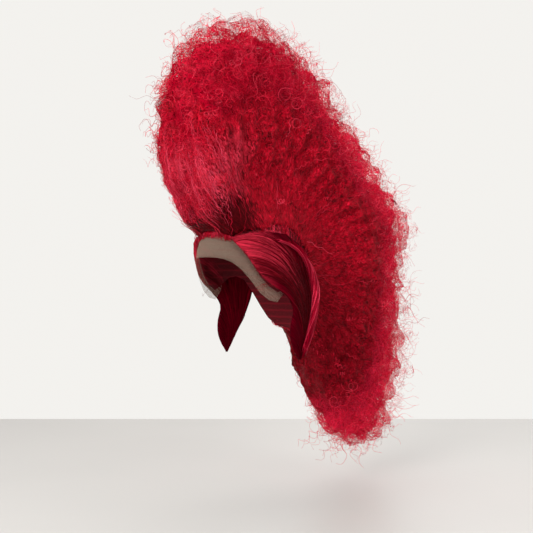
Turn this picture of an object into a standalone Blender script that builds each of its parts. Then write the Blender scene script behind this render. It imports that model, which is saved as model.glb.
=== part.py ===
"""Curly mohawk wig, modelled at its real size in metres.

The wearer faces -Y, the wearer's left is +X and up is +Z. The origin is the top
of the head, on the inner face of the cap. A thin cap fits the head, a sheer lace
band runs ahead of the hairline, two slick panels are combed back over the ears
with a raised lock along each back edge, and a tall fan of curly hair stands on
combed-up root hair, from the forehead over the crown down to a tail.
"""

import math

import bmesh
import bpy

# Head that the cap fits
HEAD_BREADTH = 0.152
HEAD_LENGTH = 0.190
HEAD_CROWN = 0.100          # from the top of the head down to its widest level
HEAD_SQUARENESS = 2.4       # 2 is an ellipse, more is a squarer crown
HEAD_TAPER = 0.12           # how fast the head draws in below its widest level

# Cap and lace
CAP_WALL = 0.0020
LACE_WALL = 0.0010
LACE_WIDTH = 0.031          # at the middle of the forehead

# Slick side panels and their edge locks
PANEL_THICKNESS = 0.0065
PANEL_LIFT = 0.009          # how far the panel stands off where it passes the ear
EDGE_LOCK_WIDTH = 0.013
EDGE_LOCK_HEIGHT = 0.009

# Root hair and the fan of curls
ROOT_HEIGHT = 0.012         # root hair over the middle of the head
ROOT_TOP_WIDTH = 0.112      # across the top of the root hair
FAN_REACH = 0.405           # from the middle of the head to the top of the fan
FAN_WIDTH = 0.156           # across the thickest part of the fan
CURL_WIDTH = 0.050          # one lock of curls, measured along the rim
CURL_RELIEF = 0.013         # from the valley between two locks to their crest
CURL_SWING = 0.34           # how far a lock sways sideways, in lock widths

# Clearances between pieces
SEAM_GAP = 0.0003           # between pieces that lie against each other
CAP_GAP = 0.0008            # between the cap's curved face and the hair on it
PARTING_GAP = 0.0012        # between a side panel's upper edge and the root hair

# The cap's edge on one side, mirrored on the other: bearing in degrees from the
# face round to the nape, depth below the top of the head as a share of HEAD_CROWN,
# width of the lace ahead of it as a share of LACE_WIDTH.
CAP_EDGE = (
    ("forehead", 0, 0.45, 1.00),
    ("brow", 20, 0.46, 1.00),
    ("corner", 36, 0.53, 1.00),
    ("temple", 49, 0.72, 0.92),
    ("cheekbone", 65, 1.08, 0.76),
    ("ear_tab", 80, 1.28, 0.50),
    ("ear_front", 90, 1.20, 0.24),
    ("ear_top", 103, 1.06, 0.00),
    ("ear_back", 118, 1.14, 0.00),
    ("mastoid", 132, 1.50, 0.00),
    ("neck", 150, 1.82, 0.00),
    ("nape", 180, 1.92, 0.00),
)

# The parting between a side panel and the root hair: bearing and depth as above.
PARTING = (
    ("hairline", 34, 0.50),
    ("front", 50, 0.44),
    ("crown_front", 70, 0.42),
    ("crown_back", 96, 0.45),
    ("turn", 117, 0.56),
    ("behind_ear", 131, 0.86),
    ("back", 138, 1.20),
    ("neck", 141, 1.45),
    ("nape", 143, 1.66),
)
PANEL_LEAVES_PARTING_AT = 3  # row of PARTING where the panel turns down to its tip

# Edges of the side panel below the parting: bearing and depth as above.
PANEL_BACK_EDGE = (
    ("turn", 121, 0.80),
    ("behind_ear", 127, 1.08),
    ("back", 125, 1.38),
    ("neck", 118, 1.72),
    ("taper", 109, 2.02),
    ("tip", 101, 2.30),
)
PANEL_FRONT_EDGE = (
    ("ear_tab", 79, 1.255),
    ("over_ear", 88, 1.38),
    ("ear", 94, 1.56),
    ("lobe", 91, 1.78),
    ("jaw", 91, 1.99),
    ("taper", 95, 2.17),
    ("tip", 100, 2.30),
)
PANEL_HANGS_FROM = 1.45     # depth below which the panel hangs straight down

# The fan's sections, from the forehead over the crown to the tail. root and rim
# are angles in degrees about the middle of the head, from straight ahead up over
# the crown; leave is the direction in which the hair leaves its root; reach is a
# share of FAN_REACH, thick a share of FAN_WIDTH, foot a share of ROOT_TOP_WIDTH
# and bow how far along the hair its bend lies.
FAN_SECTIONS = (
    # name          root   rim  leave  reach  thick  foot   bow
    ("quiff_face",   36.0,  60.5,  48, 0.745, 0.400, 0.50, 0.42),
    ("quiff_corner", 38.5,  62.5,  51, 0.800, 0.740, 0.76, 0.42),
    ("quiff",        43.0,  66.5,  57, 0.880, 0.880, 0.92, 0.42),
    ("front_brow",   51.0,  73.5,  67, 0.960, 0.980, 1.00, 0.42),
    ("front_top",    62.0,  82.5,  78, 1.000, 0.970, 1.00, 0.42),
    ("top",          74.0,  90.5,  89, 1.000, 0.960, 1.00, 0.42),
    ("top_back",     88.0,  99.5,  99, 0.975, 0.970, 1.00, 0.42),
    ("shoulder",    102.0, 110.0, 110, 0.915, 0.985, 1.00, 0.42),
    ("slope",       116.0, 122.5, 122, 0.845, 1.000, 1.00, 0.42),
    ("slope_low",   130.0, 136.0, 134, 0.832, 1.030, 1.00, 0.42),
    ("bulge",       144.0, 149.5, 148, 0.835, 1.060, 1.00, 0.42),
    ("back",        157.0, 163.0, 161, 0.920, 1.080, 1.00, 0.42),
    ("back_low",    170.0, 176.0, 175, 0.865, 1.080, 1.00, 0.42),
    ("nape",        183.0, 189.0, 190, 0.860, 1.060, 1.00, 0.42),
    ("tail_back",   195.0, 201.0, 206, 0.920, 1.020, 0.98, 0.42),
    ("tail",        205.0, 212.0, 222, 0.975, 0.960, 0.95, 0.44),
    ("tail_low",    213.0, 221.5, 238, 1.045, 0.860, 0.88, 0.46),
    ("tail_end",    218.0, 229.0, 250, 1.050, 0.700, 0.78, 0.46),
    ("tail_front",  221.5, 235.5, 259, 0.900, 0.420, 0.58, 0.46),
)

# Where the fan is parted into pieces, by the name of the section at each part.
FAN_PIECES = (
    ("crest_front", "quiff_face", "front_brow"),
    ("crest_top", "front_brow", "top_back"),
    ("crest_crown", "top_back", "slope_low"),
    ("crest_back", "slope_low", "back_low"),
    ("crest_tail", "back_low", "tail_front"),
)

# How finely the surfaces are divided
CAP_AROUND = 40
CAP_DOWN = 8
LACE_DOWN = 2
PANEL_ALONG = 16
PANEL_ACROSS = 9
PANEL_COMB_LOCKS = 4
LOCK_ALONG = 18
LOCK_SIDES = 8
ROOT_ALONG = 34
ROOT_ACROSS = 12
SECTIONS_PER_CURL = 4
FACE_STEPS = 6
RIM_STEPS = 4
RIM_SHARE = 0.34            # the part of a lock's length that is its rounded end

# Colours and finish of the pieces: red, green, blue, roughness.
FINISHES = {
    "cap_net": (0.20, 0.010, 0.020, 0.85),
    "lace": (0.62, 0.42, 0.33, 0.75),
    "slick_hair": (0.13, 0.002, 0.008, 0.32),
    "edge_hair": (0.30, 0.008, 0.025, 0.35),
    "root_hair": (0.30, 0.004, 0.020, 0.40),
    "curls": (0.36, 0.006, 0.026, 0.62),
}


def clear_scene():
    """Remove every object that the file starts with."""
    for item in list(bpy.data.objects):
        bpy.data.objects.remove(item, do_unlink=True)


def finish(name):
    """Return the material of one finish, made once."""
    if name in bpy.data.materials:
        return bpy.data.materials[name]
    red, green, blue, roughness = FINISHES[name]
    material = bpy.data.materials.new(name)
    material.use_nodes = True
    shader = material.node_tree.nodes["Principled BSDF"]
    shader.inputs["Base Color"].default_value = (red, green, blue, 1.0)
    shader.inputs["Roughness"].default_value = roughness
    shader.inputs["Metallic"].default_value = 0.0
    return material


def blend(a, b, share):
    """Return the value that lies the given share of the way from a to b."""
    return a + (b - a) * share


def smooth_row(rows, position):
    """Read a table of number rows at a position along it, on a smooth curve."""
    position = min(max(position, 0.0), len(rows) - 1.0)
    index = min(int(position), len(rows) - 2)
    share = position - index
    before = rows[max(index - 1, 0)]
    start = rows[index]
    end = rows[index + 1]
    after = rows[min(index + 2, len(rows) - 1)]
    values = []
    for p0, p1, p2, p3 in zip(before, start, end, after):
        slope_in = (p2 - p0) / 2
        slope_out = (p3 - p1) / 2
        square = share * share
        cube = square * share
        values.append((2 * cube - 3 * square + 1) * p1
                      + (cube - 2 * square + share) * slope_in
                      + (3 * square - 2 * cube) * p2
                      + (cube - square) * slope_out)
    return values


def position_of(rows, column, wanted):
    """Return the position along a table where a rising column has a value."""
    low = 0.0
    high = len(rows) - 1.0
    for _ in range(40):
        middle = (low + high) / 2
        if smooth_row(rows, middle)[column] < wanted:
            low = middle
        else:
            high = middle
    return (low + high) / 2


def numbers(table):
    """Return the rows of a table without their names."""
    return [row[1:] for row in table]


def girth(depth):
    """Return how wide the head is at a depth, as a share of its widest."""
    if depth >= 1:
        return 1 - HEAD_TAPER * (depth - 1) ** 2
    rise = max(1 - depth, 0.0)
    return max(1 - rise ** HEAD_SQUARENESS, 0.0) ** (1 / HEAD_SQUARENESS)


def on_head(bearing, depth, offset, hang=None):
    """Return the point at a bearing and depth, set off outwards from the head.

    bearing is in degrees from the face, positive to the wearer's left. depth is a
    share of HEAD_CROWN. Past the depth hang the wall drops straight down.
    """
    size = girth(depth if hang is None else min(depth, hang))
    angle = math.radians(bearing)
    if depth < 1:
        height = (HEAD_CROWN + offset) * (1 - depth)
    else:
        height = HEAD_CROWN * (1 - depth)
    return (size * (HEAD_BREADTH / 2 + offset) * math.sin(angle),
            -size * (HEAD_LENGTH / 2 + offset) * math.cos(angle),
            height - HEAD_CROWN)


def head_radius(x, angle, offset):
    """Return how far out the offset head lies at x, in a direction.

    The direction is an angle in degrees in the middle plane, from straight ahead
    up over the crown, about the middle of the head's widest level.
    """
    forward = -math.cos(math.radians(angle))
    upward = math.sin(math.radians(angle))
    low = 0.0
    high = 2 * (HEAD_LENGTH + HEAD_CROWN)
    for _ in range(40):
        middle = (low + high) / 2
        y = forward * middle
        z = upward * middle
        if z >= 0:
            depth = 1 - z / (HEAD_CROWN + offset)
        else:
            depth = 1 - z / HEAD_CROWN
        wide = math.hypot(x / (HEAD_BREADTH / 2 + offset), y / (HEAD_LENGTH / 2 + offset))
        inside = depth > 0 and wide < max(girth(depth), 0.0)
        if inside:
            low = middle
        else:
            high = middle
    return (low + high) / 2


def in_plane(angle, radius):
    """Return y and z of a point of the middle plane, about the head's middle."""
    return (-math.cos(math.radians(angle)) * radius,
            math.sin(math.radians(angle)) * radius - HEAD_CROWN)


def add_object(name, mesh_data, finish_name):
    """Link a finished bmesh as a named object and give it its finish."""
    bmesh.ops.remove_doubles(mesh_data, verts=mesh_data.verts, dist=0.00001)
    bmesh.ops.recalc_face_normals(mesh_data, faces=mesh_data.faces)
    mesh = bpy.data.meshes.new(name)
    mesh_data.to_mesh(mesh)
    mesh_data.free()
    mesh.shade_smooth()
    mesh.set_sharp_from_angle(angle=math.radians(50))
    mesh.materials.append(finish(finish_name))
    item = bpy.data.objects.new(name, mesh)
    bpy.context.scene.collection.objects.link(item)
    return item


def wall_between(name, inner, outer, finish_name, around=False):
    """Close two like grids of points into one wall, joined along their edges.

    With around set, each row closes on itself.
    """
    grid = bmesh.new()
    faces = [[[grid.verts.new(point) for point in row] for row in side]
             for side in (inner, outer)]
    rows = len(inner)
    columns = len(inner[0])
    steps = columns if around else columns - 1
    for side in faces:
        for row in range(rows - 1):
            for step in range(steps):
                turn = (step + 1) % columns
                grid.faces.new((side[row][step], side[row][turn],
                                side[row + 1][turn], side[row + 1][step]))
    inside, outside = faces
    for row in (0, rows - 1):
        for step in range(steps):
            turn = (step + 1) % columns
            grid.faces.new((inside[row][step], inside[row][turn],
                            outside[row][turn], outside[row][step]))
    if not around:
        for row in range(rows - 1):
            for column in (0, columns - 1):
                grid.faces.new((inside[row][column], inside[row + 1][column],
                                outside[row + 1][column], outside[row][column]))
    return add_object(name, grid, finish_name)


def loft(name, rings, finish_name):
    """Join rings of points into one solid, with strips across its two ends."""
    body = bmesh.new()
    made = [[body.verts.new(point) for point in ring] for ring in rings]
    count = len(rings[0])
    for ring, following in zip(made, made[1:]):
        for step in range(count):
            turn = (step + 1) % count
            body.faces.new((ring[step], ring[turn], following[turn], following[step]))
    for ring in (made[0], made[-1]):
        for step in range(count // 2):
            corners = [ring[step], ring[step + 1], ring[count - 2 - step],
                       ring[count - 1 - step]]
            distinct = list(dict.fromkeys(corners))
            if len(distinct) > 2:
                body.faces.new(distinct)
    return add_object(name, body, finish_name)


def cap_edge(bearing):
    """Return the cap's depth and the lace's width share at a bearing."""
    rows = numbers(CAP_EDGE)
    _, depth, lace = smooth_row(rows, position_of(rows, 0, abs(bearing)))
    return depth, lace


def build_cap():
    """Build the cap: a thin dome, open below, that follows the head."""
    inner = []
    outer = []
    for row in range(CAP_DOWN + 1):
        share = (row / CAP_DOWN) ** 1.15
        inner_row = []
        outer_row = []
        for step in range(CAP_AROUND):
            bearing = 360 * step / CAP_AROUND
            side = bearing if bearing <= 180 else 360 - bearing
            edge, _ = cap_edge(side)
            depth = crown_depth(share, edge)
            inner_row.append(on_head(bearing, depth, 0.0))
            outer_row.append(on_head(bearing, depth, CAP_WALL))
        inner.append(inner_row)
        outer.append(outer_row)
    hollow = bmesh.new()
    shells = []
    for grid in (inner, outer):
        pole = hollow.verts.new(grid[0][0])
        rows = [[hollow.verts.new(point) for point in row] for row in grid[1:]]
        for step in range(CAP_AROUND):
            turn = (step + 1) % CAP_AROUND
            hollow.faces.new((pole, rows[0][step], rows[0][turn]))
            for row, below in zip(rows, rows[1:]):
                hollow.faces.new((row[step], row[turn], below[turn], below[step]))
        shells.append(rows[-1])
    inside, outside = shells
    for step in range(CAP_AROUND):
        turn = (step + 1) % CAP_AROUND
        hollow.faces.new((inside[step], inside[turn], outside[turn], outside[step]))
    return add_object("wig_cap", hollow, "cap_net")


def crown_depth(share, edge):
    """Return the depth at a share of the way from the top of the head to an edge.

    The steps are even along the head's curve and not in height, so that the
    nearly level crown isn't left in one coarse fan.
    """
    full = edge_angle(edge)
    angle = share * full
    if angle <= 90:
        return 1 - math.cos(math.radians(angle)) ** (2 / HEAD_SQUARENESS)
    return 1 + (angle - 90) / 90


def edge_angle(edge):
    """Return the angle down the head's curve at which an edge's depth lies."""
    if edge <= 1:
        return math.degrees(math.acos((1 - edge) ** (HEAD_SQUARENESS / 2)))
    return 90 + (edge - 1) * 90


def build_lace():
    """Build the sheer lace band ahead of the hairline, from ear to ear."""
    inner = []
    outer = []
    quarter = CAP_AROUND // 4
    for row in range(LACE_DOWN + 1):
        inner_row = []
        outer_row = []
        for step in range(-quarter, quarter + 1):
            bearing = 360 * step / CAP_AROUND
            edge, width = cap_edge(bearing)
            start = edge + SEAM_GAP / HEAD_CROWN
            depth = start + row / LACE_DOWN * width * LACE_WIDTH / HEAD_CROWN
            inner_row.append(on_head(bearing, depth, 0.0))
            outer_row.append(on_head(bearing, depth, LACE_WALL))
        inner.append(inner_row)
        outer.append(outer_row)
    return wall_between("lace_front", inner, outer, "lace")


def parting_point(position):
    """Return bearing and depth at a position along the parting table."""
    return smooth_row(numbers(PARTING), position)


def panel_edges(along):
    """Return the panel's front and back edge, each as bearing and depth.

    along runs from 0 at the hairline to 1 at the tip.
    """
    leaves = PANEL_LEAVES_PARTING_AT
    position = along * (leaves + len(PANEL_BACK_EDGE))
    if position <= leaves:
        back = parting_point(position)
    else:
        back_rows = numbers(PARTING[leaves - 1:leaves + 1]) + numbers(PANEL_BACK_EDGE)
        back = smooth_row(back_rows, position - leaves + 1)
    back = (back[0], back[1] + PARTING_GAP / HEAD_CROWN)
    front_rows = numbers(PANEL_FRONT_EDGE)
    front = smooth_row(front_rows, along ** 1.2 * (len(front_rows) - 1))
    return front, back


def panel_place(along, across):
    """Return bearing and depth inside the panel; across runs front to back."""
    front, back = panel_edges(along)
    start_front, start_back = panel_edges(0.0)
    bearing = blend(front[0], back[0], across)
    depth = blend(front[1], back[1], across)
    start_bearing = blend(start_front[0], start_back[0], across)
    hairline = cap_edge(start_bearing)[0] - 2 * SEAM_GAP / HEAD_CROWN
    straight = blend(start_front[1], start_back[1], across)
    return bearing, depth + (1 - along) ** 2 * (hairline - straight) * 4 * across * (1 - across)


def panel_lift(along, depth):
    """Return how far the panel's inner face stands off the head."""
    seat = CAP_WALL + CAP_GAP
    over_ear = min(max((depth - 0.95) / 0.45, 0.0), 1.0)
    return seat + PANEL_LIFT * over_ear * over_ear * (3 - 2 * over_ear)


def panel_skin(along, across):
    """Return the inner and outer offset of the panel at one place."""
    bearing, depth = panel_place(along, across)
    inner = panel_lift(along, depth)
    body = 0.45 + 0.55 * math.sin(math.pi * min(across, 0.5)) * (1 - 0.35 * along)
    comb = abs(math.sin(math.pi * across * PANEL_COMB_LOCKS))
    return inner, inner + PANEL_THICKNESS * (body * 0.8 + 0.2 * comb)


def build_panel(name, side):
    """Build one slick side panel that narrows to a tip behind the ear."""
    inner = []
    outer = []
    for row in range(PANEL_ALONG + 1):
        along = row / PANEL_ALONG
        inner_row = []
        outer_row = []
        for column in range(PANEL_ACROSS + 1):
            across = column / PANEL_ACROSS
            bearing, depth = panel_place(along, across)
            low, high = panel_skin(along, across)
            inner_row.append(on_head(side * bearing, depth, low, PANEL_HANGS_FROM))
            outer_row.append(on_head(side * bearing, depth, high, PANEL_HANGS_FROM))
        inner.append(inner_row)
        outer.append(outer_row)
    return wall_between(name, inner, outer, "slick_hair")


def build_edge_lock(name, side):
    """Build the raised lock that lies on the panel along its back edge."""
    rings = []
    for step in range(LOCK_ALONG + 1):
        along = blend(0.24, 0.97, step / LOCK_ALONG)
        swell = math.sin(math.pi * blend(0.06, 0.94, step / LOCK_ALONG)) ** 0.6
        across = 0.86
        bearing, depth = panel_place(along, across)
        seat = max(panel_skin(along, across + shift)[1] for shift in (-0.12, -0.05, 0, 0.05, 0.12))
        start = seat + SEAM_GAP
        half_width = EDGE_LOCK_WIDTH / 2 * swell
        height = EDGE_LOCK_HEIGHT * swell
        degree = math.degrees(half_width / (HEAD_LENGTH / 2))
        ring = []
        for corner in range(LOCK_SIDES):
            turn = 2 * math.pi * corner / LOCK_SIDES
            offset = start + height * (0.5 + 0.5 * math.sin(turn))
            ring.append(on_head(side * (bearing + degree * math.cos(turn)), depth,
                                offset, PANEL_HANGS_FROM))
        rings.append(ring)
    return tube(name, rings, "edge_hair")


def tube(name, rings, finish_name):
    """Join round rings of points into one solid with flat ends."""
    body = bmesh.new()
    made = [[body.verts.new(point) for point in ring] for ring in rings]
    count = len(rings[0])
    for ring, following in zip(made, made[1:]):
        for step in range(count):
            turn = (step + 1) % count
            body.faces.new((ring[step], ring[turn], following[turn], following[step]))
    for ring in (made[0], made[-1]):
        body.faces.new(ring)
    bmesh.ops.triangulate(body, faces=body.faces)
    return add_object(name, body, finish_name)


def parting_in_planes():
    """Return the parting as samples of angle and distance to the side."""
    samples = []
    for step in range(8 * (len(PARTING) - 1) + 1):
        bearing, depth = parting_point(step / 8)
        x, y, z = on_head(bearing, depth, CAP_WALL + CAP_GAP)
        around = math.degrees(math.atan2(z + HEAD_CROWN, -y)) % 360
        samples.append((around, x))
    return samples


def root_border(angle):
    """Return how far out to the side the root hair reaches, at an angle."""
    samples = parting_in_planes()
    if angle <= samples[0][0]:
        return samples[0][1]
    for (low, low_x), (high, high_x) in zip(samples, samples[1:]):
        if low <= angle <= high:
            return blend(low_x, high_x, (angle - low) / max(high - low, 1e-9))
    return samples[-1][1]


def root_top(angle):
    """Return the radius of the top of the root hair, at an angle."""
    return head_radius(0.0, angle, CAP_WALL + CAP_GAP) + ROOT_HEIGHT


def root_angles():
    """Return the angles at which the root hair starts and ends."""
    samples = parting_in_planes()
    return samples[0][0], samples[-1][0]


def build_roots():
    """Build the root hair: a saddle on the cap, combed up from both partings."""
    start, end = root_angles()
    inner = []
    outer = []
    for row in range(ROOT_ALONG + 1):
        angle = blend(start, end, row / ROOT_ALONG)
        border = root_border(angle)
        foot = smooth_row(numbers(FAN_SECTIONS), position_of(numbers(FAN_SECTIONS), 0, angle))[5]
        top_half = min(ROOT_TOP_WIDTH / 2 * foot, border)
        radius = root_top(angle)
        top_y, top_z = in_plane(angle, radius)
        inner_row = []
        outer_row = []
        for column in range(ROOT_ACROSS + 1):
            share = 2 * column / ROOT_ACROSS - 1
            x = border * share
            y, z = in_plane(angle, head_radius(x, angle, CAP_WALL + CAP_GAP))
            inner_row.append((x, y, z))
            outer_row.append((top_half * share, top_y, top_z))
        inner.append(inner_row)
        outer.append(outer_row)
    return wall_between("root_hair", inner, outer, "root_hair")


def fan_rows():
    """Return the fan's sections as numbers, with angles and shares."""
    return numbers(FAN_SECTIONS)


def hair_path(section, share):
    """Return y and z on the way from a section's root to its rim."""
    root, rim, leave, reach, _, _, bow = section
    root_y, root_z = in_plane(root, root_top(root) + SEAM_GAP)
    rim_y, rim_z = in_plane(rim, FAN_REACH * reach)
    length = math.hypot(rim_y - root_y, rim_z - root_z) * bow
    bend_y = root_y - math.cos(math.radians(leave)) * length
    bend_z = root_z + math.sin(math.radians(leave)) * length
    first = (1 - share) ** 2
    second = 2 * share * (1 - share)
    third = share ** 2
    return (first * root_y + second * bend_y + third * rim_y,
            first * root_z + second * bend_z + third * rim_z)


def curl_relief(distance, around, share):
    """Return how high the curls stand at a place, from 0 in a valley to 1.

    distance is measured along the rim, around runs from -1 on the right face over
    the rim to 1 on the left face, and share from the root to the rim.
    """
    sway = CURL_SWING * math.sin(2 * math.pi * (1.35 * share + 0.37 * around))
    phase = distance / CURL_WIDTH + 0.5 * around + sway * share
    return abs(math.sin(math.pi * phase))


def section_ring(section, distance, shift):
    """Return one ring of the fan, from the right root over the rim to the left.

    shift moves the ring along the fan, for the seams between its pieces.
    """
    thick = section[4] * FAN_WIDTH / 2
    foot = min(section[5] * ROOT_TOP_WIDTH / 2, root_border(section[0]))
    stops = []
    for step in range(FACE_STEPS):
        stops.append((step / FACE_STEPS * (1 - RIM_SHARE), 1.0))
    for step in range(RIM_STEPS + 1):
        turn = math.pi / 2 * step / RIM_STEPS
        stops.append((1 - RIM_SHARE + RIM_SHARE * math.sin(turn), math.cos(turn)))
    ring = []
    for side, ordered in ((-1, stops), (1, stops[-2::-1])):
        for share, narrow in ordered:
            swell = min(share / 0.45, 1.0)
            swell = swell * swell * (3 - 2 * swell)
            half = blend(foot, thick, swell) * narrow
            around = side * (1 - share * share)
            relief = CURL_RELIEF * curl_relief(distance, around, share) - CURL_RELIEF
            grows = min(share / 0.3, 1.0)
            x = side * max(half + relief * grows * narrow, 0.0)
            lift = relief * grows * (1 - narrow)
            y, z = hair_path(section, share)
            before_y, before_z = hair_path(section, max(share - 0.01, 0.0))
            after_y, after_z = hair_path(section, min(share + 0.01, 1.0))
            run = math.hypot(after_y - before_y, after_z - before_z)
            along_y = (after_y - before_y) / run
            along_z = (after_z - before_z) / run
            ring.append((x, y + along_y * lift + along_z * shift,
                         z + along_z * lift - along_y * shift))
    return ring


def build_fan():
    """Build the fan of curls as pieces that meet on radial seams."""
    names = [row[0] for row in FAN_SECTIONS]
    rows = fan_rows()
    for name, first, last in FAN_PIECES:
        start = names.index(first)
        end = names.index(last)
        distances = rim_distances(rows)
        length = distances(end) - distances(start)
        count = max(int(round(length / CURL_WIDTH * SECTIONS_PER_CURL)), 4)
        rings = []
        for step in range(count + 1):
            position = blend(start, end, step / count)
            shift = 0.0
            if step == 0 and start > 0:
                shift = SEAM_GAP / 2
            if step == count and end < len(rows) - 1:
                shift = -SEAM_GAP / 2
            rings.append(section_ring(smooth_row(rows, position), distances(position), shift))
        loft(name, rings, "curls")


def rim_distances(rows):
    """Return a function that gives the distance along the rim at a position."""
    fine = 10
    total = [0.0]
    previous = hair_path(rows[0], 1.0)
    for step in range(1, fine * (len(rows) - 1) + 1):
        point = hair_path(smooth_row(rows, step / fine), 1.0)
        total.append(total[-1] + math.dist(point, previous))
        previous = point

    def distance(position):
        """Return the distance along the rim at a position in the table."""
        index = min(int(position * fine), len(total) - 2)
        return blend(total[index], total[index + 1], position * fine - index)

    return distance


def main():
    """Build the whole wig."""
    clear_scene()
    build_cap()
    build_lace()
    for side_name, side in (("left", 1), ("right", -1)):
        build_panel("side_panel_" + side_name, side)
        build_edge_lock("edge_lock_" + side_name, side)
    build_roots()
    build_fan()


main()
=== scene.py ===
"""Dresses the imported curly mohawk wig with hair, lace and net.

The wearer faces -Y, the wearer's left is +X and up is +Z, in metres, with the origin
at the top of the head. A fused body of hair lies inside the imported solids, with three
see-through layers of frizz round it. Thousands of fine closed strands are rooted on
the body and the panels: combed ones at the hairline and the partings, slick ones on
the sides and curled ones all over the fan.
"""

from __future__ import annotations

import logging
import math
from collections.abc import Callable, Sequence
from dataclasses import dataclass, field
from enum import Enum
from functools import partial

import bmesh
import bpy
import numpy as np
from mathutils import Matrix, Vector, noise
from mathutils.bvhtree import BVHTree


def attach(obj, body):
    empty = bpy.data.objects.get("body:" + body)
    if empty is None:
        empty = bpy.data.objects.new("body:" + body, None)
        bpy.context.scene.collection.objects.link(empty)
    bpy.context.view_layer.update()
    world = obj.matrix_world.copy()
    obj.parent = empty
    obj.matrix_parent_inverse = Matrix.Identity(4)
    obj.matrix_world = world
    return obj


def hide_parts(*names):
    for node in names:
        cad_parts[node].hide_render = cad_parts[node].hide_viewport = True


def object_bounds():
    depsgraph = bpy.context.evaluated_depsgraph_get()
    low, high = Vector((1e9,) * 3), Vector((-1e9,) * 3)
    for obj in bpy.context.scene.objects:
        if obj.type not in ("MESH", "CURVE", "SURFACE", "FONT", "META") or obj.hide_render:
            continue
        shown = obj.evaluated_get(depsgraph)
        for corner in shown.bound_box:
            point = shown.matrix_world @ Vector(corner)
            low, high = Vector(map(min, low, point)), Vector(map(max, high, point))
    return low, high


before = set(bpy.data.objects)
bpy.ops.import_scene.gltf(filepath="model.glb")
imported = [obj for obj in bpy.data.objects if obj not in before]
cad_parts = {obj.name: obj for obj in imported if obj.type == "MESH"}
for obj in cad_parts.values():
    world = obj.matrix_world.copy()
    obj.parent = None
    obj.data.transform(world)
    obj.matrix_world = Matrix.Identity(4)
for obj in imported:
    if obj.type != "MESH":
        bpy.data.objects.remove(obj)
FRAME_BOX = [tuple(corner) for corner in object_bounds()]

LOG = logging.getLogger("wig")
BODY = "root"
STRAND_MAP = "OFBake"
RIM_SHARE = "rim_share"
TINT_LEVELS = 32
HIGHEST_LEVEL = 0.999
PROUD_SHARE = 0.025
PROUD_ROOM = 0.008

CREST_NODES = ("crest_front", "crest_top", "crest_crown", "crest_back", "crest_tail")

Colour = tuple[float, float, float]
Spot = tuple[float, float]

# Spots are Y and Z in the side view. The streaks of the combed sides close up at TIP.
# HOLLOW, FOLD and NAPE are the middles of painted shade on the hair.
HOLLOW: Spot = (-0.079, -0.020)
FOLD: Spot = (-0.119, -0.004)
NAPE: Spot = (0.09, -0.24)
TIP: Spot = (0.0205, -0.234)
TIP_WAY: Spot = (-0.60, -0.80)
TIP_SPAN = 0.08
# The curls start at this distance from the head's middle in the side view.
ROOT_RADIUS = 0.112


class Side(Enum):
    """The wearer's left and right, as the sign of X."""

    LEFT = 1
    RIGHT = -1

    @property
    def word(self) -> str:
        """Return the side's name in lower case."""
        return self.name.lower()


def unit(vectors: np.ndarray) -> np.ndarray:
    """Return vectors scaled to length one along their last axis."""
    size = np.linalg.norm(vectors, axis=-1, keepdims=True)
    return vectors / np.maximum(size, 1e-9)


def smooth(value: np.ndarray, low: float, high: float) -> np.ndarray:
    """Return a soft step from 0 at low to 1 at high."""
    share = np.clip((value - low) / (high - low), 0.0, 1.0)
    return share * share * (3.0 - 2.0 * share)


def off_hollow(points: np.ndarray) -> np.ndarray:
    """Return 0 over the dark hollow above each temple and 1 away from it."""
    away = np.hypot(points[:, 1] - HOLLOW[0], points[:, 2] - HOLLOW[1])
    return smooth(away, 0.040, 0.060)


class Wire:
    """A shader socket that takes part in arithmetic."""

    def __init__(self, graph: "Graph", socket: bpy.types.NodeSocket) -> None:
        """Wrap one output socket of a graph."""
        self.graph = graph
        self.socket = socket

    def _math(self, operation: str, *values: "Wire | float") -> "Wire":
        """Return the output of a new Math node."""
        return self.graph.add("ShaderNodeMath", {"operation": operation}, dict(enumerate(values)))

    def __add__(self, other: "Wire | float") -> "Wire":
        """Return the sum."""
        return self._math("ADD", self, other)

    def __radd__(self, other: float) -> "Wire":
        """Return the sum with a number on the left."""
        return self._math("ADD", other, self)

    def __sub__(self, other: "Wire | float") -> "Wire":
        """Return the difference."""
        return self._math("SUBTRACT", self, other)

    def __rsub__(self, other: float) -> "Wire":
        """Return the difference from a number on the left."""
        return self._math("SUBTRACT", other, self)

    def __mul__(self, other: "Wire | float") -> "Wire":
        """Return the product."""
        return self._math("MULTIPLY", self, other)

    def __rmul__(self, other: float) -> "Wire":
        """Return the product with a number on the left."""
        return self._math("MULTIPLY", other, self)

    def __truediv__(self, other: "Wire | float") -> "Wire":
        """Return the quotient."""
        return self._math("DIVIDE", self, other)

    def __rtruediv__(self, other: float) -> "Wire":
        """Return the quotient of a number on the left."""
        return self._math("DIVIDE", other, self)

    def power(self, exponent: float) -> "Wire":
        """Return the value raised to a power."""
        return self._math("POWER", self, exponent)

    def floor(self) -> "Wire":
        """Return the whole part of the value."""
        return self._math("FLOOR", self)

    def sine(self) -> "Wire":
        """Return the sine of the value."""
        return self._math("SINE", self)

    def angle_from(self, level: "Wire") -> "Wire":
        """Return the angle of this rise over a level distance."""
        return self._math("ARCTAN2", self, level)

    def limited(self) -> "Wire":
        """Return the value held between 0 and 1."""
        return self._math("MINIMUM", self._math("MAXIMUM", self, 0.0), 1.0)

    def rising(self, low: float, high: float) -> "Wire":
        """Return a step from 0 at low to 1 at high."""
        return ((self - low) / (high - low)).limited()

    def falling(self, low: float, high: float) -> "Wire":
        """Return a step from 1 at low to 0 at high."""
        return ((high - self) / (high - low)).limited()


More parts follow.
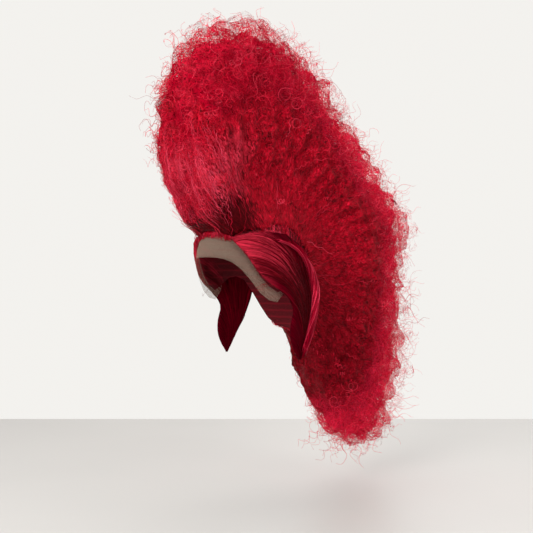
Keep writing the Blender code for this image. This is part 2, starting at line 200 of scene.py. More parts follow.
class Graph:
    """The node tree of one material, written as expressions."""

    def __init__(self, name: str) -> None:
        """Start a material with an empty tree."""
        self.material = bpy.data.materials.new(name)
        self.material.use_nodes = True
        self.tree = self.material.node_tree
        self.tree.nodes.clear()

    def add(self, kind: str, settings: dict | None = None, sockets: dict | None = None,
            output: int | str = 0) -> Wire:
        """Add one node.

        Args:
            kind: The node's type.
            settings: Its own settings, set before its sockets.
            sockets: Values or wires by socket name or index.
            output: The output socket wanted.

        Returns:
            The wanted output.
        """
        node = self.tree.nodes.new(kind)
        for key, value in (settings or {}).items():
            if key == "stops":
                self._fill_ramp(node, value)
            else:
                setattr(node, key, value)
        for key, value in (sockets or {}).items():
            socket = node.inputs[key]
            if isinstance(value, Wire):
                self.tree.links.new(value.socket, socket)
            else:
                socket.default_value = value
        return Wire(self, node.outputs[output])

    @staticmethod
    def _fill_ramp(node: bpy.types.Node, stops: Sequence[tuple]) -> None:
        """Set a colour ramp's stops.

        Args:
            node: The ramp's node.
            stops: Pairs of position and colour.
        """
        elements = node.color_ramp.elements
        while len(elements) < len(stops):
            elements.new(0.5)
        for element, (position, colour) in zip(elements, stops):
            element.position = position
            element.color = (*colour, 1.0)

    def ramp(self, value: Wire, stops: Sequence[tuple]) -> Wire:
        """Return a colour read from a ramp at a value."""
        return self.add("ShaderNodeValToRGB", {"stops": stops}, {0: value})

    def mix(self, share: Wire | float, first: Wire | Colour, second: Wire | Colour) -> Wire:
        """Return a mix of two colours."""
        low, high = [(*c, 1.0) if isinstance(c, tuple) else c for c in (first, second)]
        return self.add("ShaderNodeMix", {"data_type": "RGBA"},
                        {"Factor": share, 6: low, 7: high}, 2)

    def place(self, shift: tuple[float, float, float] = (0.0, 0.0, 0.0)) -> Wire:
        """Return object coordinates, moved by a shift."""
        spot = self.add("ShaderNodeTexCoord", output="Object")
        return self.add("ShaderNodeMapping", {"vector_type": "POINT"}, {0: spot, "Location": shift})

    def axes(self, where: Wire) -> tuple[Wire, Wire, Wire]:
        """Return the X, Y and Z of a place."""
        first = self.add("ShaderNodeSeparateXYZ", {}, {0: where})
        return tuple(Wire(self, socket) for socket in first.socket.node.outputs)

    def joined(self, x: Wire, y: Wire, z: Wire) -> Wire:
        """Return the place with these coordinates."""
        return self.add("ShaderNodeCombineXYZ", {}, {0: x, 1: y, 2: z})

    def share_of(self, attribute: str) -> Wire:
        """Return a mesh's own float attribute."""
        return self.add("ShaderNodeAttribute", {"attribute_name": attribute}, {}, "Fac")

    def noise(self, where: Wire, scale: float, detail: float = 2.0, bend: float = 0.0) -> Wire:
        """Return a noise value at a place."""
        return self.add("ShaderNodeTexNoise", {}, {"Vector": where, "Scale": scale,
                                                   "Detail": detail, "Distortion": bend})

    def bump(self, height: Wire, depth: float, strength: float = 1.0,
             under: Wire | None = None) -> Wire:
        """Bend the normal by a height.

        Args:
            height: The height, from 0 to 1.
            depth: The height's size in metres.
            strength: How much of the bend is used.
            under: A normal that is bent already.

        Returns:
            The bent normal.
        """
        sockets = {"Height": height, "Distance": depth, "Strength": strength}
        if under:
            sockets["Normal"] = under
        return self.add("ShaderNodeBump", {}, sockets)

    def surface(self, **sockets: Wire | float | tuple) -> bpy.types.Material:
        """Close the tree with a Principled shader.

        Args:
            sockets: The shader's inputs, with underscores for spaces.

        Returns:
            The finished material.
        """
        named = {key.replace("_", " "): value for key, value in sockets.items()}
        shader = self.add("ShaderNodeBsdfPrincipled", {}, named)
        end = self.tree.nodes.new("ShaderNodeOutputMaterial")
        self.tree.links.new(shader.socket, end.inputs["Surface"])
        return self.material


@dataclass(frozen=True)
class FibreFinish:
    """Fine synthetic fibre, coloured by the strand and along it: painted shade darkens each strand
    towards its root.
    """

    name: str
    dark: Colour
    main: Colour
    light: Colour
    roughness: float = 0.42
    root_shade: float = 0.55
    specular: float = 0.12
    metallic: float = 0.4
    root_share: float = 1 / 3
    root_shadow_colour: Colour = (0.02, 0.0, 0.002)
    rough_spread: float = 0.06

    def make(self) -> bpy.types.Material:
        """Return the material, which reads the strands' own map."""
        graph = Graph(self.name)
        along, across, _ = graph.axes(graph.add("ShaderNodeUVMap", {"uv_map": STRAND_MAP}))
        level = (across * TINT_LEVELS).floor() / (TINT_LEVELS - 1)
        hue = graph.ramp(level, ((0.0, self.dark), (0.5, self.main), (1.0, self.light)))
        # Painted shade: each strand darkens towards the root colour near its root.
        shade = along.rising(0.0, self.root_share) * (1.0 - self.root_shade) + self.root_shade
        colour = graph.mix(shade, self.root_shadow_colour, hue)
        rough = self.roughness + (level * 37.0).sine() * self.rough_spread
        return graph.surface(Base_Color=colour, Roughness=rough, Metallic=self.metallic,
                             Specular_IOR_Level=self.specular)


@dataclass(frozen=True)
class MassFinish:
    """The depth of curled hair behind its outer strands, crimped along its growth, with painted
    glints, a painted highlight on the quiff, a painted glow towards the back of the rim and painted
    shade in the hollows and at the nape.
    """

    name: str
    deep: Colour
    main: Colour
    light: Colour
    glint: Colour = (0.85, 0.10, 0.15)
    gloss: Colour = (0.95, 0.075, 0.14)
    painted_rear_glow: Colour = (0.78, 0.012, 0.050)
    shadow: Colour = (0.035, 0.0, 0.001)
    nape_shadow: Colour = (0.05, 0.0, 0.001)
    middle_level: float = -0.1
    fineness: float = 420.0
    lock_scale: float = 62.0
    crimp_pitch: float = 0.010
    crimp_swing: float = 0.0020
    hollow_reach: float = 0.042
    fold_reach: float = 0.020
    nape_reach: float = 0.20
    fibre_depth: float = 0.0035
    lock_depth: float = 0.007

    def make(self) -> bpy.types.Material:
        """Return the material, in the object's own coordinates."""
        graph = Graph(self.name)
        where = graph.place()
        _, y, z = graph.axes(where)
        ahead = y * -1.0
        radius = self._away(y, z, (0.0, self.middle_level))
        calm = ahead.rising(0.038, 0.078) * z.falling(0.10, 0.16)
        growth = self._growth(graph, where, radius, calm)
        fibres = graph.noise(growth, self.fineness, 3.0, 0.4)
        locks = graph.noise(where, self.lock_scale, 3.0, 1.2)
        mixed = (locks * 0.36 + fibres * 0.75 - 0.07).limited()
        colour = graph.ramp(mixed, ((0.32, self.deep), (0.52, self.main), (0.72, self.light)))
        # Painted highlight: bright glints scattered along the fibres.
        glints = graph.noise(growth, self.fineness * 2.3, 2.0)
        colour = graph.mix(glints.rising(0.58, 0.78) * 0.55, colour, self.glint)
        # Painted highlight: a glossy pink band across the combed quiff, where it faces forward.
        band = radius.rising(0.118, 0.138) * radius.falling(0.195, 0.235)
        gloss = (fibres * 3.4 - 1.35).limited() * calm * band * ahead.rising(0.042, 0.087)
        colour = graph.mix(gloss * 0.85, colour, self.gloss)
        # Painted light: the rim glows lighter towards the back, as if lit through from behind.
        painted_rear_glow = graph.share_of(RIM_SHARE) * y.rising(-0.02, 0.18) * (fibres + 0.1).limited()
        colour = graph.mix(painted_rear_glow, colour, self.painted_rear_glow)
        colour = self._shaded(graph, colour, y, z, fibres)
        normal = graph.bump(fibres, self.fibre_depth, 1.0, graph.bump(locks, self.lock_depth, 0.6))
        return graph.surface(Base_Color=colour, Roughness=0.55, Normal=normal, Metallic=0.35,
                             Specular_IOR_Level=0.05)

    @staticmethod
    def _away(y: Wire, z: Wire, spot: Spot, squeeze: float = 1.0) -> Wire:
        """Measure the distance from a spot in the side view.

        Args:
            y: Place along the middle plane.
            z: Height.
            spot: The spot.
            squeeze: How much the distance along y counts.

        Returns:
            The distance.
        """
        aft = (y - spot[0]) * squeeze
        high = z - spot[1]
        return (aft * aft + high * high).power(0.5)

    def _growth(self, graph: Graph, where: Wire, radius: Wire, calm: Wire) -> Wire:
        """Turn places into ones whose noise runs in crimped fibres out from the head.

        Args:
            graph: The material's graph.
            where: The place on the hair.
            radius: Its distance from the head's middle in the side view.
            calm: 1 where the hair is combed nearly straight, and 0 where it is curled.

        Returns:
            The new place.
        """
        x, y, z = graph.axes(where)
        arc = (z - self.middle_level).angle_from(y) * 0.25
        drift = graph.noise(where, 32.0, 2.0)
        turns = radius * (2 * math.pi / self.crimp_pitch) + drift * 26.0
        wave = turns.sine() * ((1.0 - calm * 0.55) * self.crimp_swing)
        return graph.joined(x, arc + wave, radius * 0.14)

    def _shaded(self, graph: Graph, colour: Wire, y: Wire, z: Wire, fibres: Wire) -> Wire:
        """Paint shade into the hollow above the temple, the fold ahead of it and the nape.

        Args:
            graph: The material's graph.
            colour: The hair's colour.
            y: Place along the middle plane.
            z: Height.
            fibres: The fibres' noise, which makes the shadows' borders ragged.

        Returns:
            The shaded colour.
        """
        ragged = (0.5 - fibres) * 0.08
        for spot, reach, share in ((HOLLOW, self.hollow_reach, 0.88),
                                   (FOLD, self.fold_reach, 0.70)):
            depth = reach - self._away(y, z, spot, 0.8) + ragged
            colour = graph.mix((depth / (reach * 0.4)).limited() * share, colour, self.shadow)
        shade = (1.0 - self._away(y, z, NAPE) / self.nape_reach).limited()
        return graph.mix(shade * 0.75, colour, self.nape_shadow)


@dataclass(frozen=True)
class VeilFinish:
    """A see-through layer of frizz: thin looping hairs with air between them, and a painted glow
    towards the back.
    """

    name: str
    main: Colour
    light: Colour
    cover: float
    seed: float = 0.0
    painted_rear_glow: Colour = (0.85, 0.020, 0.065)
    loop_scale: float = 75.0
    loops: float = 30.0

    def make(self) -> bpy.types.Material:
        """Return the material; the loops are level lines of two noises."""
        graph = Graph(self.name)
        where = graph.place((self.seed, self.seed * 0.7, self.seed))
        reach = (graph.noise(where, 55.0, 2.0) - 0.5) * 0.7 + self.cover
        rim = graph.share_of(RIM_SHARE)
        open_air = 1.0
        for finer, fewer in ((1.0, 1.0), (1.6, 0.8)):
            level = graph.noise(where, self.loop_scale * finer, 1.0, 0.8)
            wave = (level * (self.loops * fewer)).sine()
            line = ((reach - wave * wave) * 5.0).limited() * rim
            open_air = (1.0 - line) * open_air
        colour = graph.mix(graph.noise(where, 160.0, 2.0), self.main, self.light)
        # Painted light: the frizz glows lighter towards the back.
        _, aft, _ = graph.axes(graph.place())
        colour = graph.mix(aft.rising(-0.02, 0.18) * 0.75, colour, self.painted_rear_glow)
        return graph.surface(Base_Color=colour, Roughness=0.8, Metallic=0.0,
                             Specular_IOR_Level=0.0, Alpha=1.0 - open_air)


@dataclass(frozen=True)
class CombedFinish:
    """Flat hair whose streaks all curve into the point of the combed sides, with a painted
    highlight towards the front.
    """

    name: str
    deep: Colour
    main: Colour
    light: Colour
    fineness: float = 16.0
    painted_shine: Colour = (0.62, 0.026, 0.056)

    def make(self) -> bpy.types.Material:
        """Return the material; the streaks are arcs that close up at the tip."""
        graph = Graph(self.name)
        x, y, z = graph.axes(graph.place())
        aft = y - TIP[0]
        up = z - TIP[1]
        across = aft * TIP_WAY[1] - up * TIP_WAY[0]
        away = (aft * aft + up * up).power(0.5)
        circle = across / (away * (away + TIP_SPAN) + 0.0001)
        streak = graph.joined(circle, z * 2.0, x * 2.0)
        fine = graph.noise(streak, self.fineness, 3.0)
        broad = graph.noise(streak, self.fineness * 0.22, 2.0)
        mixed = (fine * 0.6 + broad * 0.55 - 0.08).limited()
        colour = graph.ramp(mixed, ((0.34, self.deep), (0.52, self.main), (0.74, self.light)))
        # Painted highlight: fine streaks turn lighter towards the front of the side.
        front = (y * -1.0).rising(0.020, 0.060)
        colour = graph.mix(front * (fine * 1.6 - 0.3).limited(), colour, self.painted_shine)
        normal = graph.bump(fine, 0.0009, 0.9, graph.bump(broad, 0.002, 0.6))
        return graph.surface(Base_Color=colour, Roughness=0.40, Normal=normal, Metallic=0.2,
                             Specular_IOR_Level=0.0)


@dataclass(frozen=True)
class NetFinish:
    """Stretch net with rows of sewn weft."""

    name: str
    thread: Colour
    gap: Colour
    opening: float = 1.0
    cell: float = 900.0
    thread_width: float = 0.08
    weft_pitch: float = 0.0

    def make(self) -> bpy.types.Material:
        """Return the material; opening below 1 lets light through the cells."""
        graph = Graph(self.name)
        where = graph.place()
        cells = graph.add("ShaderNodeTexVoronoi", {"feature": "DISTANCE_TO_EDGE"},
                          {"Vector": where, "Scale": self.cell})
        hole = (cells / self.thread_width - 0.5).limited()
        colour = graph.mix(hole, self.thread, self.gap)
        height = 1.0 - hole
        if self.weft_pitch:
            _, _, level = graph.axes(where)
            rows = (level * (2 * math.pi / self.weft_pitch)).sine() * 0.5 + 0.5
            ridge = rows.power(6.0)
            colour = graph.mix(ridge, colour, self.thread)
            height = height * 0.4 + ridge
        normal = graph.bump(height, 0.0012, 0.8)
        return graph.surface(Base_Color=colour, Roughness=0.8, Normal=normal,
                             Alpha=1.0 - hole * (1.0 - self.opening),
                             Specular_IOR_Level=0.2)


CURL_FINISH = FibreFinish("curl_fibre", (0.26, 0.0, 0.007), (0.76, 0.004, 0.032),
                          (0.98, 0.070, 0.13), roughness=0.5, root_shade=0.5)
COMBED_FINISH = FibreFinish("combed_fibre", (0.16, 0.0, 0.004), (0.58, 0.001, 0.022),
                            (0.98, 0.085, 0.16), roughness=0.38, root_shade=0.6)
SLICK_FINISH = FibreFinish("slick_fibre", (0.05, 0.0, 0.002), (0.15, 0.0, 0.005),
                           (0.64, 0.030, 0.062), roughness=0.32, root_shade=1.0,
                           specular=0.05, metallic=0.3)
EDGE_FINISH = FibreFinish("edge_fibre", (0.14, 0.0, 0.006), (0.50, 0.003, 0.03),
                          (0.92, 0.055, 0.12), roughness=0.3, root_shade=0.8)
MASS_FINISH = MassFinish("hair_depth", (0.050, 0.0, 0.001), (0.37, 0.0005, 0.010),
                         (0.80, 0.008, 0.038))
VEIL_FINISHES = (
    VeilFinish("inner_frizz", (0.24, 0.0, 0.006), (0.46, 0.003, 0.022), cover=0.42),
    VeilFinish("middle_frizz", (0.32, 0.001, 0.010), (0.56, 0.010, 0.035), cover=0.22, seed=5.0),
    VeilFinish("outer_frizz", (0.40, 0.006, 0.022), (0.66, 0.035, 0.07), cover=0.04, seed=3.0))
SLICK_MASS_FINISH = CombedFinish("slick_depth", (0.022, 0.0, 0.001), (0.070, 0.0, 0.004),
                                 (0.17, 0.0, 0.008), fineness=24.0)
EDGE_MASS_FINISH = CombedFinish("edge_depth", (0.07, 0.0, 0.003), (0.19, 0.0, 0.008),
                                (0.40, 0.004, 0.025), fineness=26.0)
CAP_FINISH = NetFinish("cap_net", (0.20, 0.004, 0.012), (0.060, 0.001, 0.004), weft_pitch=0.011)
LACE_FINISH = NetFinish("sheer_lace", (0.62, 0.44, 0.33), (0.64, 0.46, 0.35),
                        opening=0.10, cell=1000.0, thread_width=0.030)

Finish = FibreFinish | MassFinish | VeilFinish | CombedFinish | NetFinish
MATERIALS: dict[str, bpy.types.Material] = {}


def material_of(finish: Finish) -> bpy.types.Material:
    """Return a finish's material, made once."""
    if finish.name not in MATERIALS:
        MATERIALS[finish.name] = finish.make()
    return MATERIALS[finish.name]


def added(name: str, data: bpy.types.ID) -> bpy.types.Object:
    """Return a new object for a mesh, light or camera, in the scene and at the origin."""
    piece = bpy.data.objects.new(name, data)
    bpy.context.scene.collection.objects.link(piece)
    return piece


def merged_copy(name: str, *nodes: str) -> bpy.types.Object:
    """Copy CAD nodes into one new mesh whose corners are joined.

    Args:
        name: The new piece's name.
        nodes: The nodes to copy.

    Returns:
        The new object, at the origin.
    """
    shape = bmesh.new()
    for node in nodes:
        shape.from_mesh(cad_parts[node].data)
    bmesh.ops.remove_doubles(shape, verts=shape.verts, dist=1e-5)
    mesh = bpy.data.meshes.new(name)
    shape.to_mesh(mesh)
    shape.free()
    return added(name, mesh)


def dress(piece: bpy.types.Object, material: bpy.types.Material, slot: str,
          *replaced: str) -> bpy.types.Object:
    """Give a piece its material, hang it under the body's empty and hide the CAD nodes that it
    replaces.

    Args:
        piece: The finished piece.
        material: Its material.
        slot: Not used.
        replaced: The CAD nodes that it stands for.

    Returns:
        The same piece.
    """
    piece.data.materials.clear()
    piece.data.materials.append(material)
    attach(piece, BODY)
    if replaced:
        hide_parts(*replaced)
    count = sum(len(face.vertices) - 2 for face in piece.data.polygons)
    LOG.info("%s: %d triangles", piece.name, count)
    return piece


def vertex_array(mesh: bpy.types.Mesh, what: str = "co") -> np.ndarray:
    """Read a mesh's vertices.

    Args:
        mesh: The mesh.
        what: "co" for positions, or "normal".

    Returns:
        A row for each vertex.
    """
    rows = np.empty(len(mesh.vertices) * 3, dtype=np.float32)
    if what == "co":
        mesh.vertices.foreach_get("co", rows)
    else:
        mesh.vertex_normals.foreach_get("vector", rows)
    return rows.reshape(-1, 3).astype(np.float64)


@dataclass
class Surface:
    """A triangle surface that strands grow from."""

    corners: np.ndarray
    normals: np.ndarray
    areas: np.ndarray

    @classmethod
    def of(cls, mesh: bpy.types.Mesh) -> "Surface":
        """Read a mesh's triangles.

        Args:
            mesh: The mesh.

        Returns:
            Its surface.
        """
        mesh.calc_loop_triangles()
        index = np.empty(len(mesh.loop_triangles) * 3, dtype=np.int32)
        mesh.loop_triangles.foreach_get("vertices", index)
        corners = vertex_array(mesh)[index.reshape(-1, 3)]
        cross = np.cross(corners[:, 1] - corners[:, 0], corners[:, 2] - corners[:, 0])
        size = np.linalg.norm(cross, axis=1)
        return cls(corners, cross / np.maximum(size, 1e-12)[:, None], size / 2)

    def scatter(self, count: int, rng: np.random.Generator,
                weight: Callable[[np.ndarray, np.ndarray], np.ndarray]
                ) -> tuple[np.ndarray, np.ndarray]:
        """Scatter roots by area and weight.

        Args:
            count: How many roots.
            rng: The seeded random source.
            weight: Gives each triangle's weight from its middle and normal.

        Returns:
            The roots and their normals.
        """
        middle = self.corners.mean(axis=1)
        chance = self.areas * weight(middle, self.normals)
        chosen = rng.choice(len(chance), size=count, p=chance / chance.sum())
        a, b = rng.random((2, count, 1))
        flip = (a + b) > 1
        a, b = np.where(flip, 1 - a, a), np.where(flip, 1 - b, b)
        first, second, third = np.moveaxis(self.corners[chosen], 1, 0)
        return first + a * (second - first) + b * (third - first), self.normals[chosen]


@dataclass
class Strands:
    """Strands with the same number of points: their paths, radii and tints."""

    paths: np.ndarray
    widths: np.ndarray
    tints: np.ndarray

    def tubes(self) -> tuple[np.ndarray, np.ndarray, np.ndarray, np.ndarray]:
        """Make closed three-sided tubes.

        Returns:
            The corners, the faces' corner numbers, each face's count and the map.
        """
        paths, widths = self.paths, self.widths
        count, points, _ = paths.shape
        along = unit(np.gradient(paths, axis=1))
        upright = np.abs(along[:, 0, 2:3]) > 0.8
        helper = np.where(upright, [[1.0, 0.0, 0.0]], [[0.0, 0.0, 1.0]])
        side = np.empty_like(paths)
        side[:, 0] = unit(np.cross(helper, along[:, 0]))
        for step in range(1, points):
            carried = side[:, step - 1]
            lean = (carried * along[:, step]).sum(axis=1, keepdims=True)
            side[:, step] = unit(carried - lean * along[:, step])
        up = np.cross(along, side)
        turns = 2 * math.pi * np.arange(3) / 3
        ring = (np.cos(turns)[None, None, :, None] * side[:, :, None]
                + np.sin(turns)[None, None, :, None] * up[:, :, None])
        spots = paths[:, :, None] + widths[:, :, None, None] * ring
        faces = self._faces(count, points)
        totals = np.concatenate([np.full(count * (points - 1) * 3, 4), np.full(count * 2, 3)])
        return spots.reshape(-1, 3), faces, totals, self._map(count, points)

    @staticmethod
    def _faces(count: int, points: int) -> np.ndarray:
        """Number the corners of the tubes' faces.

        Args:
            count: How many strands there are.
            points: How many points each has.

        Returns:
            The corner numbers of the sides and then of the ends.
        """
        first = (np.arange(count) * points * 3)[:, None, None]
        corner = np.arange(3)[None, None, :]
        turn = (corner + 1) % 3
        base = first + (np.arange(points - 1) * 3)[None, :, None]
        quads = np.stack([base + corner, base + turn, base + 3 + turn, base + 3 + corner], axis=-1)
        start = first[:, 0] + np.array([[0, 2, 1]])
        end = first[:, 0] + (points - 1) * 3 + np.array([[0, 1, 2]])
        return np.concatenate([quads.reshape(-1), start.reshape(-1), end.reshape(-1)])

    def _map(self, count: int, points: int) -> np.ndarray:
        """Lay out the map: along the strand in U, and a band for each tint in V.

        Args:
            count: How many strands there are.
            points: How many points each has.

        Returns:
            U and V for each corner of each face.
        """
        share = np.arange(points - 1) / (points - 1)
        u_low = np.broadcast_to(share[None, :, None], (count, points - 1, 3))
        u_high = u_low + 1 / (points - 1)
        v_low = np.broadcast_to((self.tints[:, None, None] + 0.1) / TINT_LEVELS, u_low.shape)
        v_high = v_low + 0.8 / TINT_LEVELS
        sides = np.stack([u_low, v_low, u_low, v_high, u_high, v_high, u_high, v_low], axis=-1)
        small = 0.5 / (points - 1)
        end_v = (self.tints[:, None] + np.array([[0.1, 0.9, 0.5]])) / TINT_LEVELS
        ends = []
        for low in (0.0, 1.0 - small):
            end_u = np.broadcast_to(low + np.array([[0.0, 0.0, small]]), end_v.shape)
            ends.append(np.stack([end_u, end_v], axis=-1).reshape(-1))
        return np.concatenate([sides.reshape(-1), *ends])


def strand_piece(name: str, batches: Sequence[Strands]) -> bpy.types.Object:
    """Join batches of strands into one mesh.

    Args:
        name: The piece's name.
        batches: The strands.

    Returns:
        The new object.
    """
    spots, faces, totals, places = [], [], [], []
    base = 0
    for batch in batches:
        tube = batch.tubes()
        spots.append(tube[0])
        faces.append(tube[1] + base)
        totals.append(tube[2])
        places.append(tube[3])
        base += len(tube[0])
    loops = np.concatenate(faces)
    counts = np.concatenate(totals)
    starts = np.concatenate([[0], np.cumsum(counts)[:-1]])
    mesh = bpy.data.meshes.new(name)
    mesh.vertices.add(base)
    mesh.vertices.foreach_set("co", np.concatenate(spots).astype(np.float32).reshape(-1))
    mesh.loops.add(len(loops))
    mesh.loops.foreach_set("vertex_index", loops.astype(np.int32))
    mesh.polygons.add(len(counts))
    mesh.polygons.foreach_set("loop_start", starts.astype(np.int32))
    mesh.update(calc_edges=True)
    layer = mesh.uv_layers.new(name=STRAND_MAP)
    layer.uv.foreach_set("vector", np.concatenate(places).astype(np.float32))
    mesh.shade_smooth()
    return added(name, mesh)


def banded(level: np.ndarray, highest: float | np.ndarray = HIGHEST_LEVEL) -> np.ndarray:
    """Return the tint bands of levels from 0 to 1, none above the highest."""
    return (np.clip(level, 0.0, highest) * TINT_LEVELS).astype(int)


def kept_inside(paths: np.ndarray) -> np.ndarray:
    """Shrink strands towards their roots where they would leave the wig's box.

    Args:
        paths: Points by strand, along it, and X Y Z.

    Returns:
        The paths, the long ones made shorter.
    """
    low, high = (np.array(corner) for corner in FRAME_BOX)
    room = (high - low) * PROUD_SHARE + PROUD_ROOM
    roots = paths[:, :1]
    reach = paths - roots
    upper = (high + room - roots) / np.maximum(reach.max(axis=1, keepdims=True), 1e-6)
    lower = (low - room - roots) / np.minimum(reach.min(axis=1, keepdims=True), -1e-6)
    share = np.minimum(np.minimum(upper, lower).min(axis=2, keepdims=True), 1.0)
    return roots + reach * share


@dataclass(frozen=True)
class CurlStyle:
    """How one kind of curled strand grows, in metres.

    A tuft of strands gathers round its leader, as far as clump and as closely as
    gather says. Wander bends the strands, spread turns them, and loose puts their
    coils out of step. Share is the kind's part of the triangles, and rim says how
    many more of them stand on the rim than elsewhere.
    """

    length: float
    rise: float
    ring: float
    turns: float
    points: int
    width: float
    clump: float = 0.014
    gather: float = 0.45
    wander: float = 0.22
    spread: float = 0.3
    share: float = 0.0
    rim: float = 0.0
    tuft: int = 9
    loose: float = 0.7

    @property
    def cost(self) -> int:
        """Return the triangles that one strand takes."""
        return 6 * (self.points - 1) + 2


@dataclass
class Fan:
    """The middle of the head and the fan's growth away from it."""

    middle: np.ndarray
    rim_radius: np.ndarray = field(default_factory=lambda: np.zeros(0))
    steps: int = 72

    @classmethod
    def of_frame(cls) -> "Fan":
        """Read the head's middle and the fan's rim from the frame."""
        cap = vertex_array(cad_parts["wig_cap"].data)
        level = cap[np.argmax(cap[:, 0]), 2]
        fan = cls(np.array([0.0, 0.0, level]))
        points = np.concatenate([vertex_array(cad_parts[node].data) for node in CREST_NODES])
        angle, radius = fan.polar(points)
        slots = (angle / 360 * fan.steps).astype(int) % fan.steps
        rim = np.array([radius[slots == slot].max() if (slots == slot).any() else 0.0
                        for slot in range(fan.steps)])
        for _ in range(fan.steps // 2):
            rim = np.where(rim > 0.0, rim, np.maximum(np.roll(rim, 1), np.roll(rim, -1)))
        fan.rim_radius = np.maximum(rim, np.maximum(np.roll(rim, 1), np.roll(rim, -1)) * 0.97)
        return fan

    def polar(self, points: np.ndarray) -> tuple[np.ndarray, np.ndarray]:
        """Measure points in the side view, round the head's middle.

        Args:
            points: The points.

        Returns:
            Their angles in degrees, from straight ahead over the crown, and radii.
        """
        rel = points - self.middle
        angle = np.degrees(np.arctan2(rel[:, 2], -rel[:, 1])) % 360
        return angle, np.hypot(rel[:, 1], rel[:, 2])

    def height(self, points: np.ndarray) -> np.ndarray:
        """Measure how far out towards the rim points lie.

        Args:
            points: The points.

        Returns:
            0 at the roots to 1 at the rim, for each.
        """
        angle, radius = self.polar(points)
        rim = self.rim_at(angle)
        return np.clip((radius - ROOT_RADIUS) / np.maximum(rim - ROOT_RADIUS, 0.05), 0.0, 1.0)

    def rim_at(self, angle: np.ndarray) -> np.ndarray:
        """Read the rim between its measured slots.

        Args:
            angle: Angles in degrees.

        Returns:
            The rim's radius at each.
        """
        slot = angle / 360 * self.steps - 0.5
        low = np.floor(slot).astype(int)
        share = slot - low
        return (self.rim_radius[low % self.steps] * (1 - share)
                + self.rim_radius[(low + 1) % self.steps] * share)

    def bounded(self, paths: np.ndarray) -> np.ndarray:
        """Bend strands back where they would leave the fan's lobed outline.

        Args:
            paths: Points by strand, along it, and X Y Z.

        Returns:
            The paths, squeezed softly against the outline.
        """
        points = paths.reshape(-1, 3)
        angle, radius = self.polar(points)
        lobe = np.array([noise.noise(Vector(spot) * 24.0) + 0.5 * noise.noise(Vector(spot) * 60.0)
                         for spot in paths.mean(axis=1)])
        limit = self.rim_at(angle) - 0.003 + 0.013 * np.repeat(lobe, paths.shape[1])
        give = 0.005
        over = np.maximum(radius - limit, 0.0)
        pull = over - give * np.tanh(over / give)
        return (points - self.outward(points) * pull[:, None]).reshape(paths.shape)

    def airy(self, points: np.ndarray) -> np.ndarray:
        """Return how loose the rim is at each point: close at the front, airy behind."""
        angle, _ = self.polar(points)
        return 0.05 + 0.95 * smooth(angle, 52.0, 78.0)

    def outward(self, points: np.ndarray) -> np.ndarray:
        """Return the direction away from the head in the fan's plane."""
        return unit((points - self.middle) * [0.0, 1.0, 1.0])

    def flow(self, points: np.ndarray, normals: np.ndarray) -> np.ndarray:
        """Find the way that the hair grows over a surface.

        Args:
            points: Points on the surface.
            normals: Its normals there.

        Returns:
            The direction at each point.
        """
        out = self.outward(points)
        lean = (out * normals).sum(axis=1, keepdims=True)
        along = out - lean * normals
        weak = np.linalg.norm(along, axis=1) < 0.25
        across = unit(np.cross(normals, [1.0, 0.0, 0.0]))
        along[weak] = across[weak]
        return unit(along)


@dataclass
class Tufts:
    """Which strand leads each tuft, and how closely the others follow it."""

    leader: np.ndarray
    mine: np.ndarray
    reach: np.ndarray

    @classmethod
    def of(cls, roots: np.ndarray, style: CurlStyle, rng: np.random.Generator) -> "Tufts":
        """Part strands into tufts.

        Args:
            roots: Where the strands start.
            style: The kind of curl.
            rng: The seeded random source.

        Returns:
            The tufts.
        """
        count = len(roots)
        leader = rng.choice(count, max(int(count / style.tuft), 1), replace=False)
        gap = ((roots[:, None] - roots[leader][None]) ** 2).sum(axis=2)
        mine = gap.argmin(axis=1)
        return cls(leader, mine, np.exp(-gap[np.arange(count), mine] / style.clump ** 2))


def led_lines(fan: Fan, roots: np.ndarray, normals: np.ndarray, style: CurlStyle, tufts: Tufts,
              rng: np.random.Generator) -> tuple[np.ndarray, np.ndarray]:
    """Lead the middle lines of curled strands up from their roots.

    Args:
        fan: The fan that gives the way of growth.
        roots: Where the strands start.
        normals: The surface's normals there.
        style: The kind of curl.
        tufts: The strands' tufts.
        rng: The seeded random source.

    Returns:
        Points by strand, along it, and X Y Z, and each strand's side way.
    """
    count, seeds, mine = len(roots), len(tufts.leader), tufts.mine
    along = fan.flow(roots, normals)
    side = np.cross(normals, along)
    lead_turn = rng.normal(0.0, 0.55, seeds)
    turn = lead_turn[mine] + rng.normal(0.0, style.spread, count)
    along = unit(along * np.cos(turn)[:, None] + side * np.sin(turn)[:, None])
    side = np.cross(normals, along)
    rise = np.minimum(style.rise * rng.uniform(0.7, 1.3, count), 0.98)
    facing = (fan.outward(roots) * normals).sum(axis=1)
    length = style.length * (0.65 + 0.7 * rng.random(seeds)[mine]) * rng.uniform(0.7, 1.2, count)
    length = length * (0.5 + 0.5 * smooth(facing, -0.2, 0.5)) * (0.32 + 0.68 * fan.airy(roots))
    bend = (rng.normal(0.0, style.wander, (seeds, 3))[mine]
            + rng.normal(0.0, style.wander * 0.6, (count, 3)))
    share = np.linspace(0.0, 1.0, style.points)[None, :, None]
    flat = np.sqrt(np.maximum(1.0 - rise ** 2, 0.05))
    line = (roots[:, None] - normals[:, None] * 0.002
            + along[:, None] * (length * flat)[:, None, None] * share
            + normals[:, None] * (length * rise)[:, None, None] * share ** 0.85
            + bend[:, None] * length[:, None, None] * share ** 2)
    pull = style.gather * tufts.reach[:, None, None] * share
    return line + (line[tufts.leader][mine] - line) * pull, side


